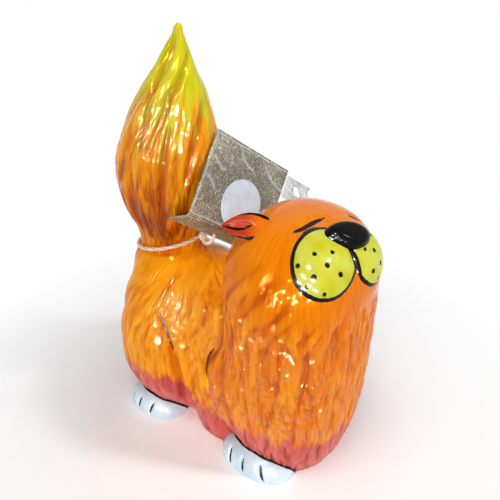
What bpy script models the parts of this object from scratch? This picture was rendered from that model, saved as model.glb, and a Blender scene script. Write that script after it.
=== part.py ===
"""A glazed earthenware cat figurine with a folded gift tag tied round its upright tail.

The cat faces -Y, its right side is at -X, and it stands on Z = 0. Two slip-cast shells, head and
chest in front and rear body behind, carry the tail, paws, ears, muzzle pads and nose that are
luted on before firing. A cord round the tail's neck holds the card tag, which opens at its crease.
"""

import math

import bmesh
import bpy
from mathutils import Matrix, Vector

MM = 0.001

# Fits, walls and mesh steps
SEAT_GAP = 0.3 * MM
CAST_WALL = 5 * MM
DRAIN_DIAMETER = 18 * MM
COLUMN_SEGMENTS = 72
COLUMN_ROWS = 22
REAR_SEGMENTS = 36
REAR_ROWS = 34
TAIL_ROWS = 22
CAVITY_SEGMENTS = 20
CAVITY_ROWS = 12
TAIL_SEGMENTS = 32
SPRIG_SEGMENTS = 24
SPRIG_ROWS = 12
PAW_ROWS = 7
CORD_SIDES = 10
POLE = 0.002
COLUMN_ROW_EASE = 1.7
REAR_ROW_EASE = 1.5
DRILL_REACH = 10 * MM

# Head and chest shell: a tall column with a low domed crown, the face turned a little to its right
COLUMN_Y = -37 * MM
COLUMN_HALF_WIDTH = 37 * MM
COLUMN_FRONT_DEPTH = 33 * MM
COLUMN_BACK_DEPTH = 31 * MM
COLUMN_SQUARENESS = 2.2
COLUMN_TAPER = [(0, 0.71), (0.12, 0.86), (0.35, 0.97), (0.65, 1.0), (1, 1.0)]
CROWN_HEIGHT = 132 * MM
CROWN_SPRING = 100 * MM
CROWN_SQUARENESS = 2.5
FACE_TURN = math.radians(-17)
HEAD_MIDDLE = 98 * MM

# Muzzle lobes swell from the front of the head
LOBE_SWELL = 2.5 * MM
LOBE_HEIGHT = 114 * MM
LOBE_REACH = 14 * MM
LOBE_ANGLE = math.radians(26)
LOBE_SPREAD = math.radians(20)

# Shoulders swell from the column's back corners
SHOULDER_SWELL = 9 * MM
SHOULDER_HEIGHT = 37 * MM
SHOULDER_REACH = 18 * MM
SHOULDER_ANGLE = math.radians(42)
SHOULDER_SPREAD = math.radians(24)

# Rear body shell: waist, rump and haunches
REAR_START_Y = -29 * MM
REAR_END_Y = 63 * MM
BACK_HEIGHT = 93 * MM
BACK_SPINE = [(0, 0.90), (0.25, 0.96), (0.45, 1.0), (0.68, 1.0), (0.86, 0.93), (0.95, 0.80), (1, 0.55)]
REAR_HALF_WIDTH = 33 * MM
REAR_TAPER = [(0, 0.85), (0.25, 0.86), (0.45, 0.92), (0.66, 1.0), (0.84, 0.94), (0.94, 0.72), (1, 0.05)]
REAR_MIDDLE = 0.46
REAR_SQUARENESS = 2.4
HAUNCH_SWELL = 6 * MM
HAUNCH_CENTRE = (33 * MM, 36 * MM)
HAUNCH_RADII = (24 * MM, 38 * MM)
HAUNCH_EDGE = 0.6

# Carved fur: wavy locks down the chest, fading below the crown and at the muzzle, and down the flanks
LOCK_DEPTH = 1.1 * MM
CHEST_LOCKS = 18
CHEST_LOCK_WAVE = 0.3
CHEST_LOCK_TOP = [(0.6, 1), (0.78, 0.5), (0.9, 0)]
MUZZLE_SPREAD = math.radians(52)
MUZZLE_FOOT = 80 * MM
FLANK_LOCK_WIDTH = 12 * MM
FLANK_LOCK_WAVE = 0.25
LOCK_WAVE_HEIGHT = 46 * MM

# Tail: a round neck, a full middle and a tip that leans forward
TAIL_Y = 40 * MM
TAIL_ROOT_DEPTH = 9 * MM
TAIL_LENGTH = 114.5 * MM
TAIL_NECK_RADIUS = 16.5 * MM
TAIL_HALF_WIDTH = 22.5 * MM
TAIL_HALF_DEPTH = 26.5 * MM
TAIL_TIP_LEAN = -13 * MM
TAIL_SWELL = [(0, 0), (0.15, 0), (0.26, 0.66), (0.37, 1.0), (1, 1.0)]
TAIL_POINT = [(0, 1), (0.46, 1), (0.56, 0.95), (0.68, 0.77), (0.8, 0.51), (0.9, 0.28), (1, 0.03)]
TAIL_CURVE = [(0, 0), (0.4, 0), (0.6, 0.25), (0.8, 0.62), (1, 1)]

# Paws
FRONT_PAW_CENTRE = (25 * MM, -33 * MM)
FRONT_PAW_RADII = (14 * MM, 20 * MM, 13 * MM)
REAR_PAW_CENTRE = (25 * MM, 35 * MM)
REAR_PAW_RADII = (12.5 * MM, 17 * MM, 12 * MM)
PAW_SQUARENESS = 2.4

# Muzzle pads, nose and ears
PAD_RAISE = 2.2 * MM
PAD_RADII = (14 * MM, 16.2 * MM)
PAD_TILT = math.radians(25)
RIGHT_PAD = (math.radians(-23.2), math.radians(42.2))
LEFT_PAD = (math.radians(26), math.radians(37.5))
NOSE_RAISE = 4.2 * MM
NOSE_RADII = (11 * MM, 7.2 * MM)
NOSE_SIDEWAYS = math.radians(4.1)
NOSE_LIFT = math.radians(51.3)
NOSE_TILT = math.radians(-21)
SPRIG_REACH = 70 * MM
EAR_RADII = (11.5 * MM, 6.3 * MM, 3.6 * MM)
EAR_ANGLE = math.radians(120)
EAR_SEAT_HEIGHT = 118 * MM
EAR_INSET = 6.5 * MM
EAR_HEIGHT = 127.6 * MM
EAR_DROOP = math.radians(3)
EAR_SWEEP = math.radians(16)
LEFT_EAR_DROP = 6 * MM

# Cord tied round the tail's neck, with a knot and a loop that goes through the tag's flap
CORD_RADIUS = 1.2 * MM
CORD_RISE = 2.5 * MM
CORD_SAG = 4.5 * MM
CORD_STEPS = 40
KNOT_RADIUS = 2.3 * MM
LOOP_RADIUS = 4.05 * MM
LOOP_CORD_RADIUS = 1.0 * MM

# Folded card tag in a clear film sleeve, its corner placed from the middle of the cord
TAG_LENGTH = 51 * MM
TAG_DEPTH = 41 * MM
CARD_THICKNESS = 0.8 * MM
TAG_CORNER = (-20.5 * MM, -30.3 * MM, 29.7 * MM)
TAG_ROLL = math.radians(37.7)
TAG_LEAN = math.radians(-12.4)
TAG_TURN = math.radians(-10.3)
FLAP_DEPTH = 13 * MM
FLAP_FOLD = math.radians(104)
FLAP_HOLE_DIAMETER = 2.8 * MM
FLAP_HOLE_ALONG = 27 * MM
FLAP_HOLE_EDGE = 3 * MM
FILM_THICKNESS = 0.5 * MM
FILM_MARGIN = 1 * MM
FILM_TAB_LENGTH = 19 * MM
FILM_TAB_SPAN = (27 * MM, 39 * MM)
FILM_HOLE_DIAMETER = 5 * MM
DOT_DIAMETER = 25 * MM
DOT_THICKNESS = 0.4 * MM
DOT_PLACE = (26.8 * MM, 13.6 * MM)


def clear_scene():
    for old in list(bpy.data.objects):
        bpy.data.objects.remove(old)


def glaze(name, colour, roughness=0.12, alpha=1.0):
    made = bpy.data.materials.new(name)
    made.use_nodes = True
    shader = made.node_tree.nodes["Principled BSDF"]
    shader.inputs["Base Color"].default_value = (*colour, 1.0)
    shader.inputs["Roughness"].default_value = roughness
    shader.inputs["Metallic"].default_value = 0.0
    shader.inputs["Alpha"].default_value = alpha
    return made


def add_object(name, bm, finish=None, helper=False):
    """Closes the bmesh into a named object; a helper is a cutter that never renders."""
    bmesh.ops.recalc_face_normals(bm, faces=bm.faces)
    mesh = bpy.data.meshes.new(name)
    bm.to_mesh(mesh)
    bm.free()
    made = bpy.data.objects.new(name, mesh)
    bpy.context.scene.collection.objects.link(made)
    if finish:
        mesh.materials.append(finish)
    if helper:
        made.hide_render = True
        made.display_type = "WIRE"
    return made


def combine(target, other, operation, keep=False):
    """Applies a Boolean with the other object to the target's own mesh, then drops the other object."""
    modifier = target.modifiers.new(operation.lower(), "BOOLEAN")
    modifier.operation = operation
    modifier.object = other
    bpy.context.view_layer.update()
    graph = bpy.context.evaluated_depsgraph_get()
    mesh = bpy.data.meshes.new_from_object(target.evaluated_get(graph))
    target.modifiers.clear()
    target.data = mesh
    if not keep:
        bpy.data.objects.remove(other)


def squared(angle, power):
    """A point of the unit superellipse at this angle."""
    c, s = math.cos(angle), math.sin(angle)
    return math.copysign(abs(c) ** (2 / power), c), math.copysign(abs(s) ** (2 / power), s)


def eased(keys, at):
    """The value at a place on a smooth curve through (place, value) keys."""
    places = [place for place, _ in keys]
    values = [value for _, value in keys]
    if at <= places[0]:
        return values[0]
    if at >= places[-1]:
        return values[-1]
    last = len(keys) - 1
    climbs = [(values[j + 1] - values[j]) / (places[j + 1] - places[j]) for j in range(last)]
    slopes = [climbs[0]]
    for before, after in zip(climbs, climbs[1:]):
        level = before * after <= 0
        slopes.append(0.0 if level else 2 * before * after / (before + after))
    slopes.append(climbs[-1])
    i = max(j for j in range(last) if places[j] <= at)
    span = places[i + 1] - places[i]
    t = (at - places[i]) / span
    start = (2 * t**3 - 3 * t**2 + 1) * values[i] + (t**3 - 2 * t**2 + t) * span * slopes[i]
    end = (3 * t**2 - 2 * t**3) * values[i + 1] + (t**3 - t**2) * span * slopes[i + 1]
    return start + end


def loft(rings, offset=0.0):
    """A closed bmesh skin through rings of equal count, moved out along its normals by offset.

    Its quads are split the same way each time, so that an offset copy stays clear of the first.
    """
    bm = bmesh.new()
    loops = [[bm.verts.new(point) for point in ring] for ring in rings]
    count = len(rings[0])
    for low, high in zip(loops, loops[1:]):
        for i in range(count):
            j = (i + 1) % count
            bm.faces.new((low[i], low[j], high[j], high[i]))
    bm.faces.new(list(reversed(loops[0])))
    bm.faces.new(loops[-1])
    bmesh.ops.recalc_face_normals(bm, faces=bm.faces)
    if offset:
        bm.normal_update()
        moves = [vert.normal * offset for vert in bm.verts]
        for vert, move in zip(bm.verts, moves):
            vert.co += move
    bmesh.ops.triangulate(bm, faces=bm.faces[:], quad_method="FIXED")
    return bm


def angle_between(a, b):
    return (a - b + math.pi) % (2 * math.pi) - math.pi


def face_direction(sideways):
    """The angle round the column of a direction this far sideways from the face's middle."""
    return -math.pi / 2 + FACE_TURN + sideways


def lock_ridge(turns):
    """A lock's height across its width, from 0 in the groove to 1 on the ridge."""
    return 1 - abs(2 * (turns % 1) - 1)


def chest_lock(angle, height):
    """How far the carved locks stand out of the chest here."""
    turned = abs(angle_between(angle, face_direction(0))) / MUZZLE_SPREAD
    raised = (height - MUZZLE_FOOT) / (CROWN_SPRING - MUZZLE_FOOT)
    clear = 1 - max(min(raised, 1), 0) * math.exp(-(turned**4))
    wave = CHEST_LOCK_WAVE * math.sin(2 * math.pi * height / LOCK_WAVE_HEIGHT)
    ridge = lock_ridge(CHEST_LOCKS * angle / (2 * math.pi) + wave)
    return LOCK_DEPTH * ridge * clear * eased(CHEST_LOCK_TOP, height / CROWN_HEIGHT)


def flank_lock(y, height):
    """How far the carved locks stand out of the rear body here."""
    wave = FLANK_LOCK_WAVE * math.sin(2 * math.pi * height / LOCK_WAVE_HEIGHT)
    return LOCK_DEPTH * lock_ridge(y / FLANK_LOCK_WIDTH + wave)


def column_point(angle, height, carved=True):
    """A point on the head and chest form, with its locks or without."""
    if height <= CROWN_SPRING:
        scale = eased(COLUMN_TAPER, height / CROWN_SPRING)
    else:
        rise = (height - CROWN_SPRING) / (CROWN_HEIGHT - CROWN_SPRING)
        scale = max(1 - rise**CROWN_SQUARENESS, POLE) ** (1 / CROWN_SQUARENESS)
    across, along = squared(angle, COLUMN_SQUARENESS)
    depth = COLUMN_FRONT_DEPTH if along < 0 else COLUMN_BACK_DEPTH
    swell = chest_lock(angle, height) if carved else 0.0
    for side in (-1, 1):
        turned = angle_between(angle, face_direction(side * LOBE_ANGLE)) / LOBE_SPREAD
        raised = (height - LOBE_HEIGHT) / LOBE_REACH
        swell += LOBE_SWELL * math.exp(-(turned**2) - raised**2)
        behind = math.pi / 2 + side * (math.pi / 2 - SHOULDER_ANGLE)
        turned = angle_between(angle, behind) / SHOULDER_SPREAD
        raised = (height - SHOULDER_HEIGHT) / SHOULDER_REACH
        swell += SHOULDER_SWELL * math.exp(-(turned**2) - raised**2)
    x = (COLUMN_HALF_WIDTH * scale + swell) * across
    y = COLUMN_Y + (depth * scale + swell) * along
    return Vector((x, y, height))


def column_rings(segments=COLUMN_SEGMENTS, rows=COLUMN_ROWS, carved=True):
    rings = []
    for k in range(rows + 1):
        height = CROWN_HEIGHT * (1 - (1 - k / rows) ** COLUMN_ROW_EASE)
        rings.append([column_point(2 * math.pi * i / segments, height, carved) for i in range(segments)])
    return rings


def rear_rings(segments=REAR_SEGMENTS, rows=REAR_ROWS, carved=True):
    length = REAR_END_Y - REAR_START_Y
    middle = REAR_MIDDLE * BACK_HEIGHT
    rings = []
    for k in range(rows + 1):
        share = 1 - (1 - k / rows) ** REAR_ROW_EASE
        y = REAR_START_Y + share * length
        half_width = REAR_HALF_WIDTH * eased(REAR_TAPER, share)
        half_height = BACK_HEIGHT * eased(BACK_SPINE, share) - middle
        ring = []
        for i in range(segments):
            across, up = squared(2 * math.pi * i / segments, REAR_SQUARENESS)
            z = max(middle + half_height * up, 0.0)
            away = ((y - HAUNCH_CENTRE[0]) / HAUNCH_RADII[0]) ** 2
            away += ((z - HAUNCH_CENTRE[1]) / HAUNCH_RADII[1]) ** 2
            swell = HAUNCH_SWELL * max(1 - away, 0.0) ** HAUNCH_EDGE * abs(across)
            lock = flank_lock(y, z) * min(half_width / REAR_HALF_WIDTH, 1) if carved else 0.0
            x = (half_width + swell + lock) * across
            ring.append(Vector((x, y, z + lock * max(up, 0.0))))
        rings.append(ring)
    return rings


def tail_radii(share):
    """The tail's half width and half depth at this share of its length."""
    swell, point = eased(TAIL_SWELL, share), eased(TAIL_POINT, share)
    a = (TAIL_NECK_RADIUS + swell * (TAIL_HALF_WIDTH - TAIL_NECK_RADIUS)) * point
    b = (TAIL_NECK_RADIUS + swell * (TAIL_HALF_DEPTH - TAIL_NECK_RADIUS)) * point
    return a, b


def tail_rings(segments, rows):
    rings = []
    for k in range(rows + 1):
        share = k / rows
        z = BACK_HEIGHT - TAIL_ROOT_DEPTH + share * TAIL_LENGTH
        y = TAIL_Y + TAIL_TIP_LEAN * eased(TAIL_CURVE, share)
        a, b = tail_radii(share)
        turns = [2 * math.pi * i / segments for i in range(segments)]
        rings.append([Vector((a * math.cos(t), y + b * math.sin(t), z)) for t in turns])
    return rings


def prism(outline, start, end, place):
    """A prism on the outline in its local XZ plane, running between two places on local Y."""
    return loft([[place @ Vector((x, y, z)) for x, z in outline] for y in (start, end)])


def oval(radii, tilt, segments):
    """Points of an ellipse turned by tilt."""
    points = []
    for i in range(segments):
        x = radii[0] * math.cos(2 * math.pi * i / segments)
        z = radii[1] * math.sin(2 * math.pi * i / segments)
        points.append((x * math.cos(tilt) - z * math.sin(tilt), x * math.sin(tilt) + z * math.cos(tilt)))
    return points


def ellipsoid(radii, place):
    bm = bmesh.new()
    sized = place @ Matrix.Diagonal((*radii, 1.0))
    bmesh.ops.create_uvsphere(bm, u_segments=SPRIG_SEGMENTS, v_segments=SPRIG_ROWS, radius=1.0, matrix=sized)
    return bm


def box(low, high, place=None):
    """A box between two corners of a local frame."""
    corners = [(low[0], low[1]), (high[0], low[1]), (high[0], high[1]), (low[0], high[1])]
    frame = place or Matrix.Identity(4)
    return loft([[frame @ Vector((x, y, z)) for x, y in corners] for z in (low[2], high[2])])


def face_place(sideways, lift):
    """A frame at the head's middle with local -Y out of the face, sideways and upwards by these angles."""
    turn = Matrix.Rotation(FACE_TURN + sideways, 4, "Z")
    return Matrix.Translation((0, COLUMN_Y, HEAD_MIDDLE)) @ turn @ Matrix.Rotation(-lift, 4, "X")


def make_shells(finish):
    """The two hollow castings, each with a drain hole in its base."""
    front = add_object("head_chest_shell", loft(column_rings()), finish)
    rear = add_object("rear_body_shell", loft(rear_rings()), finish)
    seat = add_object("column_seat", loft(column_rings(), SEAT_GAP), helper=True)
    inside = loft(column_rings(CAVITY_SEGMENTS, CAVITY_ROWS, False), -CAST_WALL)
    front_hollow = add_object("front_hollow", inside, helper=True)
    inside = loft(rear_rings(CAVITY_SEGMENTS, CAVITY_ROWS, False), -CAST_WALL)
    rear_hollow = add_object("rear_hollow", inside, helper=True)
    around = column_rings(CAVITY_SEGMENTS, CAVITY_ROWS, False)
    wall = add_object("column_wall", loft(around, CAST_WALL + LOCK_DEPTH), helper=True)
    combine(rear_hollow, wall, "DIFFERENCE")
    combine(rear, seat, "DIFFERENCE")
    combine(front, front_hollow, "DIFFERENCE")
    combine(rear, rear_hollow, "DIFFERENCE")
    for shell, y in ((front, COLUMN_Y), (rear, HAUNCH_CENTRE[0])):
        outline = oval((DRAIN_DIAMETER / 2, DRAIN_DIAMETER / 2), 0, SPRIG_SEGMENTS)
        upright = Matrix.Translation((0, y, 0)) @ Matrix.Rotation(math.pi / 2, 4, "X")
        drain = add_object("drain", prism(outline, -2 * CAST_WALL, 2 * CAST_WALL, upright), helper=True)
        combine(shell, drain, "DIFFERENCE")
    return front, rear


def make_tail(finish):
    tail = add_object("tail", loft(tail_rings(TAIL_SEGMENTS, TAIL_ROWS)), finish)
    seat = add_object("rump_seat", loft(rear_rings(), SEAT_GAP), helper=True)
    combine(tail, seat, "DIFFERENCE")
    return tail


def make_paw(name, side, centre, radii, finish):
    """A paw that lies flat on Z = 0 and fits against both shells."""
    rings = []
    for k in range(PAW_ROWS + 1):
        rise = k / PAW_ROWS
        scale = max(1 - rise**PAW_SQUARENESS, POLE) ** (1 / PAW_SQUARENESS)
        ring = []
        for i in range(SPRIG_SEGMENTS):
            across, along = squared(2 * math.pi * i / SPRIG_SEGMENTS, PAW_SQUARENESS)
            x = side * centre[0] + radii[0] * scale * across
            y = centre[1] + radii[1] * scale * along
            ring.append(Vector((x, y, radii[2] * rise)))
        rings.append(ring)
    paw = add_object(name, loft(rings), finish)
    front = centre[1] < 0
    form = column_rings() if front else rear_rings()
    seat = add_object("paw_seat", loft(form, SEAT_GAP), helper=True)
    combine(paw, seat, "DIFFERENCE")
    return paw


def make_sprig(name, shape, raised, finish):
    """A piece that follows the head: the shape's share of a raised skin over the head."""
    sprig = add_object(name, loft(column_rings(), raised), finish)
    combine(sprig, shape, "INTERSECT")
    seat = add_object("sprig_seat", loft(column_rings(), SEAT_GAP), helper=True)
    combine(sprig, seat, "DIFFERENCE")
    return sprig


def make_face(yellow, black, coral):
    nose_place = face_place(NOSE_SIDEWAYS, NOSE_LIFT)
    nose_outline = oval(NOSE_RADII, NOSE_TILT, SPRIG_SEGMENTS)
    nose_shape = add_object("nose_shape", prism(nose_outline, -SPRIG_REACH, 0, nose_place), helper=True)
    make_sprig("nose", nose_shape, NOSE_RAISE, black)
    roomy = oval([radius + SEAT_GAP for radius in NOSE_RADII], NOSE_TILT, SPRIG_SEGMENTS)
    nose_room = add_object("nose_room", prism(roomy, -SPRIG_REACH, 0, nose_place), helper=True)
    for side, name, (sideways, lift) in ((-1, "right", RIGHT_PAD), (1, "left", LEFT_PAD)):
        outline = oval(PAD_RADII, side * PAD_TILT, SPRIG_SEGMENTS)
        place = face_place(sideways, lift)
        shape = add_object("pad_shape", prism(outline, -SPRIG_REACH, 0, place), helper=True)
        pad = make_sprig(f"{name}_muzzle_pad", shape, PAD_RAISE, yellow)
        combine(pad, nose_room, "DIFFERENCE", keep=side < 0)
        near, far = sorted((side * SEAT_GAP, side * SPRIG_REACH))
        half = box((near, -SPRIG_REACH, -SPRIG_REACH), (far, 0, SPRIG_REACH), face_place(0, 0))
        combine(pad, add_object("pad_half", half, helper=True), "INTERSECT")
        make_ear(f"{name}_ear", side, coral)


def make_ear(name, side, finish):
    """A leaf-shaped ear laid over the crown, its tip out past the head's edge."""
    angle = face_direction(side * EAR_ANGLE)
    edge = column_point(angle, EAR_SEAT_HEIGHT) - Vector((0, COLUMN_Y, EAR_SEAT_HEIGHT))
    out = edge.length - EAR_INSET
    turn = Matrix.Rotation(math.atan2(edge.y, edge.x), 4, "Z")
    swept = Matrix.Rotation(side * EAR_SWEEP, 4, "Z") @ Matrix.Rotation(EAR_DROOP, 4, "Y")
    height = EAR_HEIGHT - (LEFT_EAR_DROP if side > 0 else 0.0)
    middle = Matrix.Translation((0, COLUMN_Y, height))
    place = middle @ turn @ Matrix.Translation((out, 0, 0)) @ swept
    ear = add_object(name, ellipsoid(EAR_RADII, place), finish)
    seat = add_object("ear_seat", loft(column_rings(), SEAT_GAP), helper=True)
    combine(ear, seat, "DIFFERENCE")
    return ear


def tube(path, radius, sides):
    """A closed round cord along a closed path of points."""
    bm = bmesh.new()
    loops = []
    count = len(path)
    for i, point in enumerate(path):
        ahead = (path[(i + 1) % count] - path[i - 1]).normalized()
        out = ahead.cross(Vector((0, 0, 1)) if abs(ahead.z) < 0.9 else Vector((1, 0, 0))).normalized()
        up = out.cross(ahead)
        turns = [2 * math.pi * k / sides for k in range(sides)]
        loops.append([bm.verts.new(point + radius * (math.cos(t) * out + math.sin(t) * up)) for t in turns])
    for i in range(count):
        low, high = loops[i], loops[(i + 1) % count]
        for k in range(sides):
            j = (k + 1) % sides
            bm.faces.new((low[k], low[j], high[j], high[k]))
    return bm


def drill(target, across, up, diameter):
    """Drills a hole through a thin sheet that lies in its local XZ plane."""
    outline = [(across + x, up + z) for x, z in oval((diameter / 2, diameter / 2), 0, SPRIG_SEGMENTS)]
    bit = add_object("bit", prism(outline, -DRILL_REACH, DRILL_REACH, Matrix.Identity(4)), helper=True)
    combine(target, bit, "DIFFERENCE")


def pivot(name, place, parent=None):
    """An empty on a joint axis."""
    made = bpy.data.objects.new(name, None)
    bpy.context.scene.collection.objects.link(made)
    made.parent = parent
    made.matrix_world = place
    bpy.context.view_layer.update()
    return made


def hang(piece, parent, place):
    """Parents the piece and puts it at a place in the world."""
    piece.parent = parent
    piece.matrix_world = place
    bpy.context.view_layer.update()


def cord_middle():
    """The middle of the cord's ring, just above the back."""
    return Vector((0, TAIL_Y, BACK_HEIGHT + CORD_RISE))


def make_tie(cord_finish, card_finish, tag_place):
    """The cord round the tail, its knot with the loop, and the flap that the loop holds."""
    turning = pivot("tie_pivot", Matrix.Translation(cord_middle()))
    path = []
    for i in range(CORD_STEPS):
        t = 2 * math.pi * i / CORD_STEPS
        sag = -CORD_SAG * math.sin(t)
        a, b = tail_radii((TAIL_ROOT_DEPTH + CORD_RISE + sag + CORD_RADIUS) / TAIL_LENGTH)
        off = SEAT_GAP + CORD_RADIUS
        path.append(Vector(((a + off) * math.cos(t), (b + off) * math.sin(t), sag)))
    cord = add_object("tail_cord", tube(path, CORD_RADIUS, CORD_SIDES), cord_finish)
    hang(cord, turning, turning.matrix_world)
    flap_place = tag_place @ Matrix.Rotation(-FLAP_FOLD, 4, "X")
    sheet = box((0, 0, SEAT_GAP), (TAG_LENGTH, CARD_THICKNESS, FLAP_DEPTH))
    flap = add_object("tag_flap", sheet, card_finish)
    hole = FLAP_DEPTH - FLAP_HOLE_EDGE
    drill(flap, FLAP_HOLE_ALONG, hole, FLAP_HOLE_DIAMETER)
    hang(flap, turning, flap_place)
    middle = Vector((FLAP_HOLE_ALONG, CARD_THICKNESS / 2, hole + LOOP_RADIUS))
    turns = [2 * math.pi * i / SPRIG_SEGMENTS for i in range(SPRIG_SEGMENTS)]
    path = [middle + LOOP_RADIUS * Vector((0, math.sin(t), math.cos(t))) for t in turns]
    knot = add_object("cord_knot", tube(path, LOOP_CORD_RADIUS, CORD_SIDES), cord_finish)
    spot = Matrix.Translation(middle + Vector((0, 0, LOOP_RADIUS)))
    bead = add_object("bead", ellipsoid((KNOT_RADIUS,) * 3, spot), helper=True)
    combine(knot, bead, "UNION")
    hang(knot, turning, flap_place)
    return turning


def make_tag_leaf(turning, tag_place, card_finish, film_finish, dot_finish):
    """The tag's large leaf with its film sleeve and round price dot, turning at the crease."""
    crease = pivot("crease_pivot", tag_place, turning)
    sheet = box((0, -CARD_THICKNESS, SEAT_GAP), (TAG_LENGTH, 0, TAG_DEPTH))
    leaf = add_object("tag_leaf", sheet, card_finish)
    front = -CARD_THICKNESS - SEAT_GAP
    tab_end = TAG_LENGTH + FILM_TAB_LENGTH
    low, high = FILM_TAB_SPAN
    outline = [
        (0, FILM_MARGIN),
        (TAG_LENGTH, FILM_MARGIN),
        (TAG_LENGTH, low),
        (tab_end, low),
        (tab_end, high),
        (TAG_LENGTH, high),
        (TAG_LENGTH, TAG_DEPTH - FILM_MARGIN),
        (0, TAG_DEPTH - FILM_MARGIN),
    ]
    flat = Matrix.Identity(4)
    film = add_object("tag_film", prism(outline, front - FILM_THICKNESS, front, flat), film_finish)
    drill(film, tab_end - FILM_TAB_LENGTH / 2, (low + high) / 2, FILM_HOLE_DIAMETER)
    face = front - FILM_THICKNESS - SEAT_GAP
    ring = oval((DOT_DIAMETER / 2, DOT_DIAMETER / 2), 0, SPRIG_SEGMENTS)
    disc = [(DOT_PLACE[0] + x, DOT_PLACE[1] + z) for x, z in ring]
    dot = add_object("price_dot", prism(disc, face - DOT_THICKNESS, face, flat), dot_finish)
    for piece in (leaf, film, dot):
        hang(piece, crease, tag_place)


def main():
    clear_scene()
    orange = glaze("orange_glaze", (0.85, 0.32, 0.02))
    white = glaze("white_glaze", (0.78, 0.82, 0.84))
    yellow = glaze("yellow_glaze", (0.80, 0.76, 0.08))
    black = glaze("black_glaze", (0.01, 0.01, 0.012))
    coral = glaze("coral_glaze", (0.72, 0.13, 0.05))
    make_shells(orange)
    make_tail(orange)
    for side, name in ((-1, "right"), (1, "left")):
        make_paw(f"front_{name}_paw", side, FRONT_PAW_CENTRE, FRONT_PAW_RADII, white)
        make_paw(f"rear_{name}_paw", side, REAR_PAW_CENTRE, REAR_PAW_RADII, white)
    make_face(yellow, black, coral)
    cord = glaze("cord_cotton", (0.72, 0.52, 0.36), 0.9)
    card = glaze("gold_card", (0.25, 0.16, 0.05), 0.4)
    film = glaze("clear_film", (0.9, 0.9, 0.9), 0.08, 0.25)
    paper = glaze("white_paper", (0.6, 0.65, 0.72), 0.6)
    lean = Matrix.Rotation(TAG_TURN, 4, "Z") @ Matrix.Rotation(TAG_LEAN, 4, "X")
    corner = Matrix.Translation(cord_middle() + Vector(TAG_CORNER))
    tag_place = corner @ lean @ Matrix.Rotation(TAG_ROLL, 4, "Y")
    turning = make_tie(cord, card, tag_place)
    make_tag_leaf(turning, tag_place, card, film, paper)


main()
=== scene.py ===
"""The looks of a glazed earthenware cat with a card tag tied round its tail.

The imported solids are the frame. Both castings and the tail get coats that are carved into locks of
fur, the face, ears and paws get their modelled and painted forms, and the tie gets its twisted
cord, its glitter card, its clear film and its paper dot.
"""

from __future__ import annotations

import logging
import math
from collections.abc import Callable, Sequence
from dataclasses import dataclass, field, replace
from enum import Enum
from functools import cache

import bpy
import numpy as np
from mathutils import Matrix, Vector
from mathutils.bvhtree import BVHTree

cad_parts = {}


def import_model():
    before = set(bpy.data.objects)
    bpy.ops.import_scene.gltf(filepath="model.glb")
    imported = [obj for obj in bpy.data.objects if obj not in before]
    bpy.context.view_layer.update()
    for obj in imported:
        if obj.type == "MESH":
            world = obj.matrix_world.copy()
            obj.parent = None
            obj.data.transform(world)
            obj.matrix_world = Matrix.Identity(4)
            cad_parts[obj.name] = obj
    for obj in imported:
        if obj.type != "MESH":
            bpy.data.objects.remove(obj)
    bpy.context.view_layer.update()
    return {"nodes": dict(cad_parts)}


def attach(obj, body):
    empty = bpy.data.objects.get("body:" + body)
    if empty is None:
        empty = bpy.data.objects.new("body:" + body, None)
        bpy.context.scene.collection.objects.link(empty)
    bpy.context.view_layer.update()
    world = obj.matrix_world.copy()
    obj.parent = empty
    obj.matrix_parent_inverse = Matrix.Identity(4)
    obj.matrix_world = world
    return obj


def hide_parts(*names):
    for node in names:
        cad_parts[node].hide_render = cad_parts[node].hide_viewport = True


log = logging.getLogger("cat_figurine")

MM = 0.001
# Seams that are closer than this close up, in metres
SEAM = 2e-6
# The distance from paint at which a place counts as bare, in millimetres
NO_INK = 5.0
# Waves of the glaze's skin for each metre
RIPPLES = 170.0
# The values that a noise mostly has
NOISE_SPAN = (0.3, 0.7)
# The sockets of a mix of colours: its share, its two colours and its result
MIX_INPUTS = (0, 6, 7)
MIX_OUTPUT = 2
# Points of a curve from one of its places to the next
CURVE_STEPS = 8
# Columns that are closer than this carry no locks, in millimetres
FINEST_STEP = 0.06
# Rows that a lock has at least
SHORTEST_LOCK = 4
# The share of a coat's heights that lie below its crests, in percent
CREST_PERCENT = 90
# How far out the rays start that look for a solid's face, in metres
RAY_START = 0.2

Colour = tuple[float, float, float, float]
Place = tuple[float, float, float]
Spot = tuple[float, float]
Band = tuple[float, float, float, float]
Piece = bpy.types.Object
Socket = bpy.types.NodeSocket
DyeRule = Callable[[np.ndarray, float], np.ndarray]
LeanRule = Callable[[np.ndarray], float]


class Body(Enum):
    """The bodies of the frame that pieces ride on."""

    FIGURINE = "figurine"
    TIE = "tie"
    TAG = "tag"


class Side(Enum):
    """The cat's own right and left, as the sign of X."""

    RIGHT = -1
    LEFT = 1


class Mark(Enum):
    """Attributes that a coat or a painted piece hands to its finish."""

    GROOVE_AND_SHADE = "groove_and_shade"
    TONE = "tone"
    DYE = "dye"
    INK = "ink"
    CURL = "curl"


def paint(red: int, green: int, blue: int) -> Colour:
    """Turns a colour as a screen shows it into the linear colour that a socket takes.

    Args:
        red: Red from 0 to 255.
        green: Green from 0 to 255.
        blue: Blue from 0 to 255.

    Returns:
        The linear colour with an alpha of 1.
    """
    shares = [level / 255 for level in (red, green, blue)]
    lit = [s / 12.92 if s <= 0.04045 else ((s + 0.055) / 1.055) ** 2.4 for s in shares]
    return (*lit, 1.0)


def begin(name: str, add: Callable[..., set[str]], **sizes: float) -> Piece:
    """Adds a primitive with nothing else selected.

    Args:
        name: The new piece's name.
        add: The operator that adds the primitive.
        sizes: The operator's own settings.

    Returns:
        The new object, which is active and selected.
    """
    bpy.ops.object.select_all(action="DESELECT")
    add(**sizes)
    made = bpy.context.object
    made.name = name
    made.data.name = name
    return made


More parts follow.
